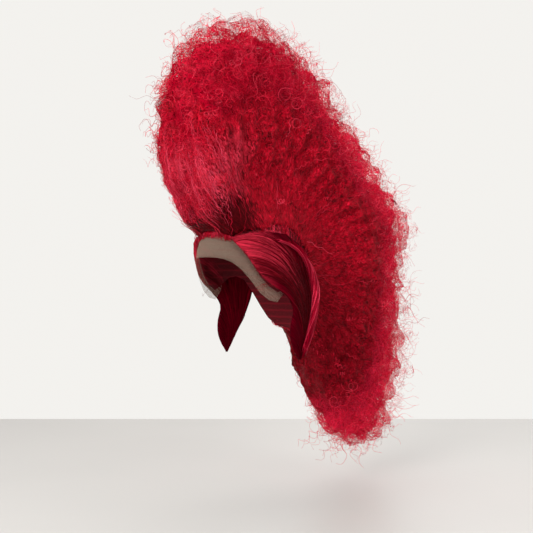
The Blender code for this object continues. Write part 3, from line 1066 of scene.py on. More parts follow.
def curl_paths(fan: Fan, roots: np.ndarray, normals: np.ndarray, style: CurlStyle,
               rng: np.random.Generator) -> np.ndarray:
    """Grow strands that coil round their middle lines.

    Args:
        fan: The fan that gives the way of growth.
        roots: Where the strands start.
        normals: The surface's normals there.
        style: The kind of curl.
        rng: The seeded random source.

    Returns:
        Points by strand, along it, and X Y Z.
    """
    tufts = Tufts.of(roots, style, rng)
    line, side = led_lines(fan, roots, normals, style, tufts, rng)
    count, seeds, mine = len(roots), len(tufts.leader), tufts.mine
    phase = rng.uniform(0, 2 * math.pi, seeds)[mine] + rng.normal(0.0, style.loose, count)
    twist = style.turns * (0.75 + 0.5 * rng.random(seeds)[mine])
    hand = rng.choice([-1.0, 1.0], seeds)[mine]
    ring = style.ring * (0.6 + 0.8 * rng.random(seeds)[mine]) * (0.8 + 0.4 * rng.random(count))
    share = np.linspace(0.0, 1.0, style.points)[None]
    angle = phase[:, None] + 2 * math.pi * twist[:, None] * share
    size = np.clip(share / 0.18, 0.0, 1.0) * ring[:, None]
    axis = unit(np.gradient(line, axis=1))
    cross = unit(np.cross(axis, side[:, None] + 1e-3))
    return (line + np.cross(cross, axis) * (np.cos(angle) * size)[:, :, None]
            + cross * (hand[:, None] * np.sin(angle) * size)[:, :, None])


def tapered(count: int, style: CurlStyle, rng: np.random.Generator) -> np.ndarray:
    """Give strands their thickness, less towards the tip.

    Args:
        count: How many strands there are.
        style: The kind of curl.
        rng: The seeded random source.

    Returns:
        The radius of each strand along it.
    """
    share = np.linspace(0.0, 1.0, style.points)[None]
    size = style.width / 2 * (0.75 + 0.5 * rng.random(count))[:, None]
    return size * (1.0 - 0.55 * share ** 2)


@dataclass(frozen=True)
class Layer:
    """One closed layer of the fan and how far it lies inside the solids, in metres.

    The insets are those at the faces, at the rim, at the roots and, as a share of X,
    at the sides of the rim. Lump and frizz are the sizes of its coarse and fine noise.
    """

    name: str
    voxel: float
    face_inset: float
    rim_inset: float
    side_inset: float
    lump: float
    lump_scale: float
    frizz: float
    seed: float = 0.0
    root_inset: float = 0.0012
    front_swell: float = 0.008
    frizz_scale: float = 120.0

    def fused(self, *nodes: str) -> bpy.types.Mesh:
        """Fuse CAD nodes into one closed mesh.

        Args:
            nodes: The CAD nodes.

        Returns:
            The mesh.
        """
        rough = merged_copy("rough", *nodes)
        fuse = rough.modifiers.new("fuse", "REMESH")
        fuse.mode = "VOXEL"
        fuse.voxel_size = self.voxel
        graph = bpy.context.evaluated_depsgraph_get()
        mesh = bpy.data.meshes.new_from_object(rough.evaluated_get(graph))
        mesh.name = self.name
        bpy.data.objects.remove(rough)
        return mesh

    def shape(self, fan: Fan, *nodes: str) -> bpy.types.Object:
        """Fuse the nodes, draw their points inwards and break up the surface.

        Args:
            fan: The fan that gives the way outwards.
            nodes: The CAD nodes.

        Returns:
            The new piece.
        """
        mesh = self.fused(*nodes)
        spots = vertex_array(mesh)
        normals = vertex_array(mesh, "normal")
        height = fan.height(spots)
        shift = Vector((7.0, 3.0, 5.0)) * (1.0 + self.seed)
        coarse = np.array([noise.noise(Vector(spot) * self.lump_scale + shift) for spot in spots])
        fine = np.array([noise.noise(Vector(spot) * self.frizz_scale + shift) for spot in spots])
        grown = smooth(height, 0.02, 0.15)
        inset = self.root_inset + (self.face_inset - self.root_inset) * smooth(height, 0.02, 0.2)
        angle, _ = fan.polar(spots)
        front = smooth(-angle, -56.0, -46.0) * smooth(height, 0.05, 0.3)
        inset = inset - self.front_swell * front
        airy = fan.airy(spots)
        lump = self.lump * (1.0 + 0.8 * airy * smooth(height, 0.5, 0.9))
        push = (coarse - 0.08) * lump + (fine - 0.15) * self.frizz
        moved = spots + normals * (push * grown - inset)[:, None]
        moved = moved - fan.outward(moved) * (self.rim_inset * airy * height ** 1.5)[:, None]
        moved[:, 0] *= 1.0 - self.side_inset * airy * smooth(height, 0.35, 1.05)
        mesh.vertices.foreach_set("co", moved.astype(np.float32).reshape(-1))
        share = mesh.attributes.new(RIM_SHARE, "FLOAT", "POINT")
        share.data.foreach_set("value", smooth(height, 0.45, 0.85).astype(np.float32))
        mesh.update()
        mesh.shade_smooth()
        return added(self.name, mesh)


@dataclass
class HairBody:
    """The closed depth of hair, and the see-through frizz round it."""

    fan: Fan
    core: Layer = Layer("hair_body", voxel=0.0052, face_inset=0.003, rim_inset=0.047,
                        side_inset=0.56, lump=0.009, lump_scale=30.0, frizz=0.0024)
    veils: tuple[Layer, ...] = (
        Layer("inner_veil", voxel=0.0095, face_inset=0.002, rim_inset=0.031, side_inset=0.36,
              lump=0.014, lump_scale=34.0, frizz=0.004, seed=1.0, root_inset=0.004),
        Layer("middle_veil", voxel=0.0095, face_inset=0.0, rim_inset=0.017, side_inset=0.19,
              lump=0.016, lump_scale=32.0, frizz=0.004, seed=3.0, root_inset=0.004),
        Layer("outer_veil", voxel=0.0095, face_inset=-0.002, rim_inset=0.004, side_inset=0.04,
              lump=0.016, lump_scale=30.0, frizz=0.006, seed=2.0, root_inset=0.004))

    def build(self) -> bpy.types.Object:
        """Build the depth of hair and its veils.

        Returns:
            The depth of hair, on which strands are rooted.
        """
        body = self.core.shape(self.fan, *CREST_NODES, "root_hair")
        dress(body, material_of(MASS_FINISH), "curls", "root_hair")
        for layer, finish in zip(self.veils, VEIL_FINISHES):
            veil = layer.shape(self.fan, *CREST_NODES)
            dress(veil, material_of(finish), "curls")
        return body


@dataclass
class CurlyCrest:
    """The curls of the fan, one joined piece for each crest solid."""

    fan: Fan
    body: bpy.types.Object
    triangles: int = 575_000
    seed: int = 410
    styles: tuple[CurlStyle, ...] = (
        CurlStyle(length=0.034, rise=0.30, ring=0.0020, turns=3.2, points=16, width=0.0008,
                  share=0.16, rim=0.3),
        CurlStyle(length=0.054, rise=0.80, ring=0.0046, turns=2.8, points=22, width=0.00066,
                  gather=0.45, wander=0.25, spread=1.2, share=0.34, rim=5.0),
        CurlStyle(length=0.042, rise=0.62, ring=0.0062, turns=2.2, points=20, width=0.00068,
                  gather=0.5, wander=0.25, spread=1.5, share=0.28, rim=7.0),
        CurlStyle(length=0.038, rise=0.75, ring=0.0032, turns=3.0, points=22, width=0.00060,
                  gather=0.3, wander=0.3, spread=1.5, share=0.14, rim=5.0),
        CurlStyle(length=0.044, rise=0.60, ring=0.0064, turns=1.6, points=18, width=0.00080,
                  clump=0.012, gather=0.85, wander=0.2, spread=0.4, share=0.08, rim=6.0,
                  tuft=22, loose=0.14))

    def build(self) -> None:
        """Grow all the curls, each piece by its share of the surface."""
        surface = Surface.of(self.body.data)
        owner = self._owners(surface)
        sizes = [surface.areas[owner == index].sum() for index in range(len(CREST_NODES))]
        total = sum(sizes)
        for index, name in enumerate(CREST_NODES):
            rng = np.random.default_rng(self.seed + index)
            part = Surface(surface.corners[owner == index], surface.normals[owner == index],
                           surface.areas[owner == index])
            self._grow(name, part, self.triangles * sizes[index] / total, rng)

    def _owners(self, surface: Surface) -> np.ndarray:
        """Find the crest node that each triangle lies nearest to.

        Args:
            surface: The body's surface.

        Returns:
            The node's number for each triangle.
        """
        middle = surface.corners.mean(axis=1)
        angle, _ = self.fan.polar(middle)
        edges = []
        for name in CREST_NODES:
            spots = vertex_array(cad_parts[name].data)
            turn, radius = self.fan.polar(spots)
            edges.append(float(np.median(turn[radius > ROOT_RADIUS * 1.3])))
        return np.abs(angle[:, None] - np.array(edges)[None]).argmin(axis=1)

    def _grow(self, name: str, surface: Surface, triangles: float,
              rng: np.random.Generator) -> None:
        """Grow the curls of one crest solid.

        Args:
            name: The crest node.
            surface: The body's surface there.
            triangles: How many triangles the curls may take.
            rng: The seeded random source.
        """
        batches = []
        for style in self.styles:
            number = int(triangles * style.share / style.cost)
            weight = partial(self._weight, rim=style.rim)
            roots, normals = surface.scatter(number, rng, weight)
            paths = self.fan.bounded(curl_paths(self.fan, roots, normals, style, rng))
            # Painted glow: kinds that stand mostly on the rim get lighter tints.
            tints = self._tint(roots, 0.40 + 0.015 * style.rim, rng)
            batches.append(Strands(kept_inside(paths), tapered(number, style, rng), tints))
        dress(strand_piece(f"{name}_curls", batches), material_of(CURL_FINISH), "curls", name)

    def _weight(self, middle: np.ndarray, normals: np.ndarray, rim: float) -> np.ndarray:
        """Weigh how densely the curls stand.

        Args:
            middle: The middles of the surface's triangles.
            normals: Their normals.
            rim: How many more curls stand on the rim than elsewhere.

        Returns:
            The weight of each triangle.
        """
        height = self.fan.height(middle)
        out = (self.fan.outward(middle) * normals).sum(axis=1)
        inside = smooth(-out, 0.5, 0.8) * (height < 0.15)
        plain = (0.45 + 0.4 * smooth(height, 0.1, 0.6)) / (1.0 + rim) ** 1.5
        plain *= off_hollow(middle)
        edge = smooth(out, 0.1, 0.75) * smooth(height, 0.35, 0.7)
        return (plain + rim * edge) * (1 - inside)

    @staticmethod
    def _tint(roots: np.ndarray, middle: float, rng: np.random.Generator) -> np.ndarray:
        """Tint strands, with a slow drift over the hair, painted light towards the back and painted
        shade towards the bottom.

        Args:
            roots: Where the strands start.
            middle: The kind's middle level.
            rng: The seeded random source.

        Returns:
            The band of each strand.
        """
        drift = np.array([noise.noise(Vector(root) * 22.0) for root in roots])
        # Painted light: strands turn lighter towards the back.
        rear = 0.16 * smooth(roots[:, 1], 0.02, 0.22)
        # Painted shade: the lightest tints are left out towards the bottom.
        lightest = 0.72 + 0.27 * smooth(roots[:, 2], -0.25, -0.05)
        level = middle + rear + 0.30 * drift + 0.22 * rng.standard_normal(len(roots))
        return banded(level, lightest)


def tree_of(piece: bpy.types.Object) -> BVHTree:
    """Return a search tree of a piece's faces."""
    mesh = piece.data
    return BVHTree.FromPolygons([corner.co for corner in mesh.vertices],
                                [face.vertices for face in mesh.polygons])


def followed(tree: BVHTree, starts: np.ndarray, heading: Callable[[np.ndarray], np.ndarray],
             lengths: np.ndarray, points: int) -> tuple[np.ndarray, np.ndarray]:
    """Lead strands over a surface.

    Args:
        tree: The surface.
        starts: Where the strands begin.
        heading: Gives the way to go at each spot.
        lengths: The strands' lengths.
        points: How many points each one gets.

    Returns:
        The strands' points and the surface's normals there.
    """
    paths = np.empty((len(starts), points, 3))
    normals = np.empty_like(paths)
    spots = starts.copy()
    pace = (lengths / (points - 1))[:, None]
    for step in range(points):
        for index, spot in enumerate(spots):
            place, normal, _, _ = tree.find_nearest(Vector(spot))
            paths[index, step] = place
            normals[index, step] = normal
        way = heading(paths[:, step])
        lean = (way * normals[:, step]).sum(axis=1, keepdims=True)
        spots = paths[:, step] + unit(way - lean * normals[:, step]) * pace
    for _ in range(2):
        normals[:, 1:-1] = unit(normals[:, :-2] + normals[:, 1:-1] * 2 + normals[:, 2:])
        paths[:, 1:-1] = (paths[:, :-2] + paths[:, 1:-1] * 2 + paths[:, 2:]) / 4
    return paths, normals


def waved(paths: np.ndarray, normals: np.ndarray, lift: np.ndarray, swing: float, pitch: float,
          lengths: np.ndarray, rng: np.random.Generator, loose: float = 1.0) -> np.ndarray:
    """Raise combed strands off their surface and give them slow waves.

    Args:
        paths: The strands on the surface.
        normals: The surface's normals there.
        lift: How high each point stands.
        swing: How far the waves go to each side.
        pitch: The length of a wave.
        lengths: The strands' lengths.
        rng: The seeded random source.
        loose: How far neighbours are out of step, from 0 to 1.

    Returns:
        The new paths.
    """
    count, points, _ = paths.shape
    share = np.linspace(0.0, 1.0, points)[None]
    along = unit(np.gradient(paths, axis=1))
    side = np.cross(normals, along)
    phase = rng.uniform(0, 2 * math.pi, (count, 2)) * loose
    drift = np.array([[9.0 * noise.noise(Vector(spot) * 34.0)] for spot in paths[:, 0]])
    phase += drift * (1 - loose)
    wave = 2 * math.pi * share * (lengths / pitch)[:, None]
    size = (swing * rng.uniform(0.3, 1.4, count))[:, None] * np.minimum(share * 4, 1.0)
    sway = np.sin(wave + phase[:, :1]) * size
    bob = np.sin(wave * 0.8 + phase[:, 1:]) * size * 0.5 + lift
    return paths + side * sway[:, :, None] + normals * bob[:, :, None]


def border(first: str, second: str, reach: float) -> np.ndarray:
    """Find where two CAD nodes meet.

    Args:
        first: The node whose corners are wanted.
        second: The other node.
        reach: How near to it they have to lie.

    Returns:
        The corners.
    """
    tree = tree_of(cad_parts[second])
    spots = np.unique(vertex_array(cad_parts[first].data).round(5), axis=0)
    near = [tree.find_nearest(Vector(spot))[3] < reach for spot in spots]
    return spots[np.array(near)]


def between(spots: np.ndarray, count: int, rng: np.random.Generator, reach: float = 0.025
            ) -> np.ndarray:
    """Scatter places on short lines between neighbouring spots of a border.

    Args:
        spots: The border's spots.
        count: How many places are wanted.
        rng: The seeded random source.
        reach: How near two neighbours lie.

    Returns:
        The places.
    """
    first = spots[rng.integers(0, len(spots), count * 4)]
    second = spots[rng.integers(0, len(spots), count * 4)]
    close = np.linalg.norm(first - second, axis=1) < reach
    first, second = first[close][:count], second[close][:count]
    return first + (second - first) * rng.random((len(first), 1))


def comb_heading(spots: np.ndarray) -> np.ndarray:
    """Find the way that the combed sides run: on arcs that close up at their tip.

    Args:
        spots: Where the way is wanted.

    Returns:
        The direction at each spot.
    """
    rel = spots - np.array([0.0, *TIP])
    rel[:, 0] = 0.0
    away = np.linalg.norm(rel, axis=1)[:, None]
    out = unit(rel)
    back = -np.array([0.0, *TIP_WAY])
    facing = (out @ back)[:, None]
    return back - facing * out * (2.0 + TIP_SPAN / np.maximum(away, 0.004))


@dataclass
class SidePanel:
    """One slick side: its body of combed hair and the strands over it."""

    side: Side
    count: int = 240
    hairline_count: int = 140
    points: int = 16
    width: float = 0.0007
    swing: float = 0.0008
    pitch: float = 0.05
    ahead: float = 0.007
    lace_room: float = 0.005
    tip_aside: float = 0.08
    seed: int = 520

    def build(self) -> None:
        """Build the side's body and its strands."""
        node = f"side_panel_{self.side.word}"
        body = merged_copy(f"{node}_body", node)
        rounded(body.data)
        dress(body, material_of(SLICK_MASS_FINISH), "slick_hair", node)
        rng = np.random.default_rng(self.seed + self.side.value)
        roots, _ = Surface.of(body.data).scatter(self.count, rng, self._weight)
        roots = np.concatenate([roots, self._hairline(node, rng)])
        ground = merged_copy("ground", node, "lace_front", "wig_cap")
        strands = self._combed(tree_of(ground), roots, rng)
        bpy.data.objects.remove(ground)
        dress(strand_piece(f"{node}_strands", [strands]), material_of(SLICK_FINISH), "slick_hair")

    def _hairline(self, node: str, rng: np.random.Generator) -> np.ndarray:
        """Place roots along the panel's front edge, a little ahead of it on the lace.

        Args:
            node: The panel's CAD node.
            rng: The seeded random source.

        Returns:
            The roots.
        """
        spots = between(border(node, "lace_front", 0.0035), self.hairline_count, rng)
        spots = spots[spots[:, 0] * self.side.value > 0]
        spots = spots - comb_heading(spots) * rng.uniform(0.0, self.ahead, (len(spots), 1))
        spots[:, 0] += self.side.value * self.lace_room
        return spots

    def _combed(self, tree: BVHTree, roots: np.ndarray, rng: np.random.Generator) -> Strands:
        """Comb strands from their roots towards the point.

        Args:
            tree: The surface that they lie on.
            roots: Where they start.
            rng: The seeded random source.

        Returns:
            The strands, shorter at the front and lighter there as painted highlight.
        """
        count = len(roots)
        tip = np.array([self.side.value * self.tip_aside, *TIP])
        front = smooth(-roots[:, 1], 0.0, 0.06) * smooth(roots[:, 2], -0.12, -0.06)
        lengths = np.linalg.norm(roots - tip, axis=1) * rng.uniform(0.5, 1.0, count)
        lengths = lengths * (1.0 - 0.5 * front)
        paths, normals = followed(tree, roots, comb_heading, lengths, self.points)
        share = np.linspace(0.0, 1.0, self.points)[None]
        lift = rng.uniform(0.0002, 0.0012, count)[:, None] * np.sin(math.pi * share) + 0.0002
        paths = waved(paths, normals, lift, self.swing, self.pitch, lengths, rng)
        radii = self.width / 2 * rng.uniform(0.6, 1.3, count)[:, None] * (1.1 - share ** 4)
        # Painted highlight: strands near the front get lighter tints.
        level = 0.10 + 0.64 * front + 0.20 * rng.standard_normal(count)
        return Strands(paths, radii, banded(level))

    def _weight(self, middle: np.ndarray, normals: np.ndarray) -> np.ndarray:
        """Return how densely the strands start: on the outer face, away from the tip."""
        outer = smooth(normals[:, 0] * self.side.value, 0.1, 0.5)
        return outer * (0.15 + smooth(middle[:, 2], TIP[1] + 0.02, -0.06)) + 1e-6


def rounded(mesh: bpy.types.Mesh, angle: float = 42.0) -> None:
    """Shade a mesh smooth, apart from edges sharper than an angle in degrees."""
    mesh.shade_smooth()
    mesh.set_sharp_from_angle(angle=math.radians(angle))


@dataclass
class EdgeLock:
    """The bright lock along the back of a slick side, twisted from fine strands."""

    side: Side
    count: int = 90
    points: int = 28
    pivot: tuple[float, float] = (-0.015, -0.150)
    width: float = 0.0008
    twist: float = 1.1
    half_limit: tuple[float, float] = (0.005, 0.007)
    seed: int = 610

    def build(self) -> None:
        """Build the lock's body and its strands."""
        node = f"edge_lock_{self.side.word}"
        body = merged_copy(f"{node}_body", node)
        rounded(body.data, 60.0)
        dress(body, material_of(EDGE_MASS_FINISH), "edge_hair", node)
        line, half = self._middle_line(vertex_array(body.data))
        rng = np.random.default_rng(self.seed + self.side.value)
        strands = self._twisted(line, half, rng)
        dress(strand_piece(f"{node}_strands", [strands]), material_of(EDGE_FINISH), "edge_hair")

    def _twisted(self, line: np.ndarray, half: np.ndarray, rng: np.random.Generator) -> Strands:
        """Twist strands round the lock's middle line.

        Args:
            line: The middle line.
            half: The lock's half widths along it, outwards and across.
            rng: The seeded random source.

        Returns:
            The strands.
        """
        along = unit(np.gradient(line, axis=0))
        outward = np.zeros_like(line)
        outward[:, 0] = self.side.value
        outward = unit(outward - (outward * along).sum(axis=1, keepdims=True) * along)
        across = np.cross(along, outward)
        share = np.linspace(0.0, 1.0, self.points)[None]
        angle = (rng.uniform(0, 2 * math.pi, self.count)[:, None]
                 + 2 * math.pi * self.twist * share * rng.uniform(0.7, 1.2, self.count)[:, None])
        deep = rng.uniform(0.82, 1.12, self.count)[:, None]
        wobble = 1.0 + 0.06 * np.sin(share * 23.0 + rng.uniform(0, 6, self.count)[:, None])
        reach = deep * wobble
        paths = (line[None] + outward[None] * (np.cos(angle) * reach * half[None, :, 0])[..., None]
                 + across[None] * (np.sin(angle) * reach * half[None, :, 1])[..., None])
        radii = self.width / 2 * rng.uniform(0.6, 1.3, self.count)[:, None] * (1.1 - share ** 3)
        level = 0.16 + 0.26 * np.abs(rng.standard_normal(self.count)) ** 1.5
        return Strands(paths, radii, banded(level))

    def _middle_line(self, spots: np.ndarray) -> tuple[np.ndarray, np.ndarray]:
        """Measure the lock's middle and half widths along it.

        Args:
            spots: The lock's corners.

        Returns:
            The middle line and its half widths, outwards and across.
        """
        rel = spots[:, 1:] - np.array(self.pivot)
        turn = np.degrees(np.arctan2(rel[:, 0], rel[:, 1]))
        edges = np.linspace(turn.min(), turn.max(), 15)
        rows = []
        for low, high in zip(edges[:-1], edges[1:]):
            ring = spots[(turn >= low - 1e-6) & (turn <= high + 1e-6)]
            if len(ring) >= 5:
                middle = ring.mean(axis=0)
                radius = np.hypot(*(ring[:, 1:] - np.array(self.pivot)).T)
                rows.append([*middle, np.ptp(ring[:, 0]) / 2, np.ptp(radius) / 2])
        table = np.array(rows)
        for _ in range(2):
            table[1:-1] = (table[:-2] + table[1:-1] * 2 + table[2:]) / 4
        grid = np.linspace(0, len(table) - 1, self.points)
        fine = np.stack([np.interp(grid, np.arange(len(table)), column) for column in table.T],
                        axis=1)
        return fine[:, :3], np.minimum(fine[:, 3:], self.half_limit)


@dataclass(frozen=True)
class CombStyle:
    """How one kind of combed strand lies. Lengths are in metres."""

    count: int
    points: int
    shortest: float
    longest: float
    swing: float
    pitch: float
    lift: float
    width: float
    tint: float


@dataclass
class Quiff:
    """The straight glossy hair combed up off the forehead and off both partings."""

    fan: Fan
    body: bpy.types.Object
    front: CombStyle = CombStyle(count=1050, points=17, shortest=0.045, longest=0.085,
                                 swing=0.0015, pitch=0.014, lift=0.007, width=0.0006, tint=0.50)
    sides: CombStyle = CombStyle(count=150, points=17, shortest=0.025, longest=0.050,
                                 swing=0.0012, pitch=0.009, lift=0.003, width=0.0006, tint=0.30)
    hairline: CombStyle = CombStyle(count=380, points=12, shortest=0.025, longest=0.055,
                                    swing=0.0014, pitch=0.018, lift=0.006, width=0.0007, tint=0.50)
    parting: CombStyle = CombStyle(count=260, points=13, shortest=0.015, longest=0.032,
                                   swing=0.0014, pitch=0.010, lift=0.004, width=0.0006, tint=0.44)
    behind: CombStyle = CombStyle(count=440, points=12, shortest=0.018, longest=0.034,
                                  swing=0.0018, pitch=0.009, lift=0.006, width=0.0008, tint=0.30)
    hairline_ahead: float = 0.008
    parting_ahead: float = 0.003
    cover_reach: float = 0.012
    looseness: float = 0.25
    line_way: tuple[float, float, float] = (0.0, -0.3, -0.95)
    seed: int = 730

    def build(self) -> None:
        """Comb the strands over the body, the panels and the net, as one piece."""
        rng = np.random.default_rng(self.seed)
        surface = Surface.of(self.body.data)
        ground = merged_copy("ground", "lace_front", "wig_cap", "side_panel_left",
                             "side_panel_right")
        mixed = bmesh.new()
        mixed.from_mesh(ground.data)
        mixed.from_mesh(self.body.data)
        tree = BVHTree.FromBMesh(mixed)
        mixed.free()
        bpy.data.objects.remove(ground)
        forehead = border("root_hair", "lace_front", 0.006)
        partings = np.concatenate([border("root_hair", f"{part}_{side.word}", 0.008)
                                   for side in Side for part in ("side_panel", "edge_lock")])
        starts = ((self.front, surface.scatter(self.front.count, rng, self._front)[0]),
                  (self.sides, surface.scatter(self.sides.count, rng, self._sides)[0]),
                  (self.hairline, self._line(forehead, self.hairline.count,
                                             self.hairline_ahead, rng)),
                  (self.parting, self._line(partings, self.parting.count,
                                            self.parting_ahead, rng)),
                  (self.behind, self._bare_net(self.behind.count, rng)))
        batches = [self._comb(tree, roots, style, rng) for style, roots in starts]
        dress(strand_piece("combed_roots", batches), material_of(COMBED_FINISH), "root_hair")

    def _bare_net(self, count: int, rng: np.random.Generator) -> np.ndarray:
        """Place roots on the outside of the net where no solid covers it.

        Args:
            count: How many roots are wanted at most.
            rng: The seeded random source.

        Returns:
            The roots.
        """
        net = merged_copy("ground", "wig_cap")
        cover = merged_copy("cover", "root_hair", *CREST_NODES)
        over = [tree_of(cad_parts[f"{part}_{side.word}"]) for side in Side
                for part in ("side_panel", "edge_lock")]
        over.append(tree_of(cover))
        over.append(tree_of(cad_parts["lace_front"]))
        spots, normals = Surface.of(net.data).scatter(count * 12, rng, self._outside)
        bare = [not any(tree.ray_cast(Vector(spot), Vector(way), self.cover_reach)[0]
                        for tree in over)
                for spot, way in zip(spots, normals)]
        bpy.data.objects.remove(net)
        bpy.data.objects.remove(cover)
        return spots[np.array(bare)][:count]

    def _outside(self, middle: np.ndarray, normals: np.ndarray) -> np.ndarray:
        """Return 1 for faces that look away from the head's middle, else nearly 0."""
        return ((unit(middle - self.fan.middle) * normals).sum(axis=1) > 0.5) * 1.0 + 1e-9

    def _line(self, spots: np.ndarray, count: int, ahead: float, rng: np.random.Generator
              ) -> np.ndarray:
        """Scatter roots on a border and a little ahead of it.

        Args:
            spots: The border's spots.
            count: How many roots are wanted.
            ahead: How far ahead they may lie.
            rng: The seeded random source.

        Returns:
            The roots.
        """
        roots = between(spots, count, rng)
        return roots + np.array(self.line_way) * rng.uniform(-0.003, ahead, (len(roots), 1))

    def _heading(self, spots: np.ndarray) -> np.ndarray:
        """Find the way that the hair is combed: up off the forehead, then outwards.

        Args:
            spots: Where the way is wanted.

        Returns:
            The direction at each spot.
        """
        angle, radius = self.fan.polar(spots)
        low = smooth(-radius, -0.135, -0.095) * smooth(-angle, -75.0, -55.0)
        up = np.array([0.0, 0.0, 1.0])
        return self.fan.outward(spots) * (1 - low)[:, None] + up * low[:, None]

    def _comb(self, tree: BVHTree, roots: np.ndarray, style: CombStyle,
              rng: np.random.Generator) -> Strands:
        """Comb strands of one kind outwards from their roots.

        Args:
            tree: The surface that they lie on.
            roots: Where they start.
            style: The kind of strand.
            rng: The seeded random source.

        Returns:
            The strands.
        """
        count = len(roots)
        lengths = rng.uniform(style.shortest, style.longest, count)
        paths, normals = followed(tree, roots, self._heading, lengths, style.points)
        share = np.linspace(0.0, 1.0, style.points)[None]
        lift = 0.0004 + rng.uniform(0.1, 1.0, count)[:, None] * style.lift * smooth(share, 0.0, 0.9)
        paths = waved(paths, normals, lift, style.swing, style.pitch, lengths, rng, self.looseness)
        radii = style.width / 2 * rng.uniform(0.6, 1.4, count)[:, None] * (1.1 - 0.7 * share ** 2)
        streak = np.array([noise.noise(Vector(spot)) for spot in roots * [60.0, 60.0, 8.0]])
        _, radius = self.fan.polar(roots)
        # Painted highlight: lighter tints in a band up the front face.
        painted_shine = smooth(radius, 0.125, 0.15) * smooth(-radius, -0.22, -0.18) * 0.20
        level = style.tint + painted_shine + 0.30 * streak + 0.20 * rng.standard_normal(count)
        tints = banded(level, min(style.tint + 0.5, HIGHEST_LEVEL))
        return Strands(kept_inside(paths), radii, tints)

    def _front(self, middle: np.ndarray, normals: np.ndarray) -> np.ndarray:
        """Weigh how densely strands start on the front face, above the hollow.

        Args:
            middle: The middles of the surface's triangles.
            normals: Their normals.

        Returns:
            The weight of each triangle.
        """
        angle, radius = self.fan.polar(middle)
        facing = smooth(-normals[:, 1], 0.1, 0.6)
        above = smooth(radius, 0.115, 0.140) + 0.10
        return facing * smooth(-angle, -66.0, -56.0) * smooth(-radius, -0.22, -0.17) * above + 1e-6

    def _sides(self, middle: np.ndarray, normals: np.ndarray) -> np.ndarray:
        """Weigh how densely strands start along the partings.

        Args:
            middle: The middles of the surface's triangles.
            normals: Their normals.

        Returns:
            The weight of each triangle.
        """
        angle, radius = self.fan.polar(middle)
        facing = smooth(np.abs(normals[:, 0]), 0.3, 0.7) * smooth(angle, 50.0, 62.0)
        spread = smooth(-radius, -0.145, -0.10) * (radius > 0.085) * off_hollow(middle)
        return facing * spread + 1e-6


@dataclass
class Cap:
    """The net cap and its sheer lace front, with the sizes that they are cut to."""

    net_cut: tuple[float, float] = (0.36, 0.34)
    net_area: float = 0.0638
    lace_cut: tuple[float, float] = (0.305, 0.034)
    lace_area: float = 0.0072

    def build(self) -> None:
        net = merged_copy("cap_net_shell", "wig_cap")
        rounded(net.data)
        dress(net, material_of(CAP_FINISH), "cap_net", "wig_cap")
        lace = merged_copy("lace_band", "lace_front")
        rounded(lace.data)
        dress(lace, material_of(LACE_FINISH), "lace", "lace_front")


@dataclass(frozen=True)
class Lamp:
    """A soft square light: its place by the camera's directions, size and power."""

    name: str
    aside: float
    ahead: float
    height: float
    size: float
    power: float

    def hang(self, back: Vector, right: Vector) -> None:
        """Hang the lamp, turned towards the wig.

        Args:
            back: The level direction from the wig to the camera.
            right: The camera's right.
        """
        data = bpy.data.lights.new(self.name, "AREA")
        data.size = self.size
        data.energy = self.power
        spot = right * self.aside + back * self.ahead + Vector((0, 0, self.height))
        lamp = added(self.name, data)
        lamp.location = spot
        lamp.rotation_mode = "QUATERNION"
        lamp.rotation_quaternion = (Vector((0, 0.03, 0)) - spot).to_track_quat("-Z", "Y")


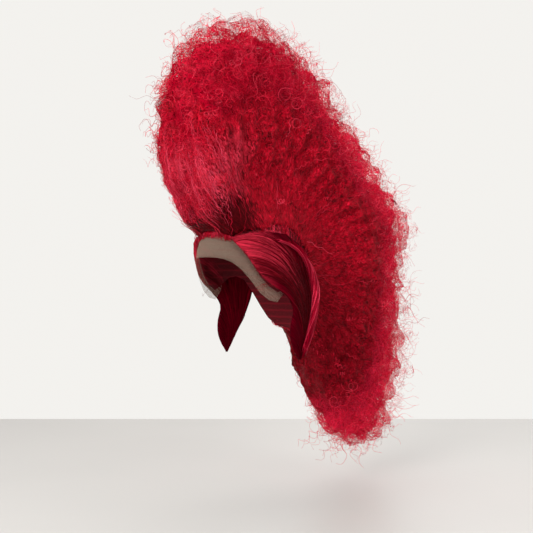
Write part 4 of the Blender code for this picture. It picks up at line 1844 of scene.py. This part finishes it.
@dataclass
class Studio:
    """The camera, the soft lights, the pale floor and the pale backdrop."""

    azimuth: float = 48.0
    distance: float = 1.4
    height: float = -0.090
    aside: float = 0.0228
    pixel: float = 0.00157
    frame_pixels: int = 533
    floor_level: float = -0.46
    floor_front: float = 2.6
    floor_back: float = 0.764
    floor_half: float = 3.0
    lamps: tuple[Lamp, ...] = (
        Lamp("key", aside=-0.9, ahead=1.5, height=0.7, size=1.0, power=34.0),
        Lamp("fill", aside=1.5, ahead=1.1, height=0.2, size=1.4, power=9.0),
        Lamp("top", aside=0.0, ahead=-0.2, height=1.7, size=1.4, power=12.0),
        Lamp("rear", aside=0.6, ahead=-1.4, height=0.7, size=1.4, power=10.0))

    def build(self) -> None:
        """Set up the whole studio."""
        turn = math.radians(self.azimuth)
        back = Vector((math.sin(turn), -math.cos(turn), 0.0))
        right = Vector((math.cos(turn), math.sin(turn), 0.0))
        self._camera(back, right)
        self._floor(turn)
        for lamp in self.lamps:
            lamp.hang(back, right)
        self._world()

    def _camera(self, back: Vector, right: Vector) -> None:
        """Place the level camera at the photograph's angle.

        Args:
            back: The level direction from the wig to the camera.
            right: The camera's right.
        """
        data = bpy.data.cameras.new("camera")
        data.sensor_width = 36.0
        data.lens = data.sensor_width * self.distance / (self.pixel * self.frame_pixels)
        camera = added("camera", data)
        camera.location = right * self.aside + back * self.distance + Vector((0, 0, self.height))
        camera.rotation_mode = "QUATERNION"
        camera.rotation_quaternion = (-back).to_track_quat("-Z", "Y")
        bpy.context.scene.camera = camera

    def _floor(self, turn: float) -> None:
        """Lay the pale table that the photograph shows behind and below the wig.

        Args:
            turn: The camera's angle round the wig.
        """
        top = bmesh.new()
        bmesh.ops.create_grid(top, x_segments=1, y_segments=1, size=1.0)
        half = (self.floor_front + self.floor_back) / 2
        bmesh.ops.scale(top, verts=top.verts, vec=(self.floor_half, half, 1.0))
        bmesh.ops.translate(top, verts=top.verts, vec=(0.0, self.floor_back - half, 0.0))
        bmesh.ops.rotate(top, verts=top.verts, cent=(0, 0, 0), matrix=Matrix.Rotation(turn, 3, "Z"))
        bmesh.ops.translate(top, verts=top.verts, vec=(0.0, 0.0, self.floor_level))
        mesh = bpy.data.meshes.new("floor")
        top.to_mesh(mesh)
        top.free()
        floor = added("floor", mesh)
        graph = Graph("pale_table")
        grain = graph.noise(graph.place(), 3.0, 2.0)
        colour = graph.mix(grain, (0.50, 0.487, 0.465), (0.54, 0.523, 0.50))
        mesh.materials.append(graph.surface(Base_Color=colour, Roughness=0.5))

    @staticmethod
    def _world() -> None:
        """Surround everything with an even pale wall."""
        world = bpy.data.worlds.new("pale_wall")
        world.use_nodes = True
        nodes = world.node_tree.nodes
        links = world.node_tree.links
        nodes.clear()
        seen = nodes.new("ShaderNodeBackground")
        seen.inputs["Color"].default_value = (0.90, 0.885, 0.855, 1.0)
        lit = nodes.new("ShaderNodeBackground")
        lit.inputs["Color"].default_value = (1.0, 0.985, 0.97, 1.0)
        lit.inputs["Strength"].default_value = 0.70
        path = nodes.new("ShaderNodeLightPath")
        mix = nodes.new("ShaderNodeMixShader")
        end = nodes.new("ShaderNodeOutputWorld")
        links.new(path.outputs["Is Camera Ray"], mix.inputs[0])
        links.new(lit.outputs[0], mix.inputs[1])
        links.new(seen.outputs[0], mix.inputs[2])
        links.new(mix.outputs[0], end.inputs["Surface"])
        bpy.context.scene.world = world
        bpy.context.scene.view_settings.view_transform = "Standard"


def main() -> None:
    """Build every piece in order and report it."""
    logging.basicConfig(level=logging.INFO, format="%(message)s")
    Studio().build()
    fan = Fan.of_frame()
    body = HairBody(fan).build()
    CurlyCrest(fan, body).build()
    Quiff(fan, body).build()
    for side in Side:
        SidePanel(side).build()
        EdgeLock(side).build()
    Cap().build()
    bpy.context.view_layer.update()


if __name__ == "__main__":
    main()
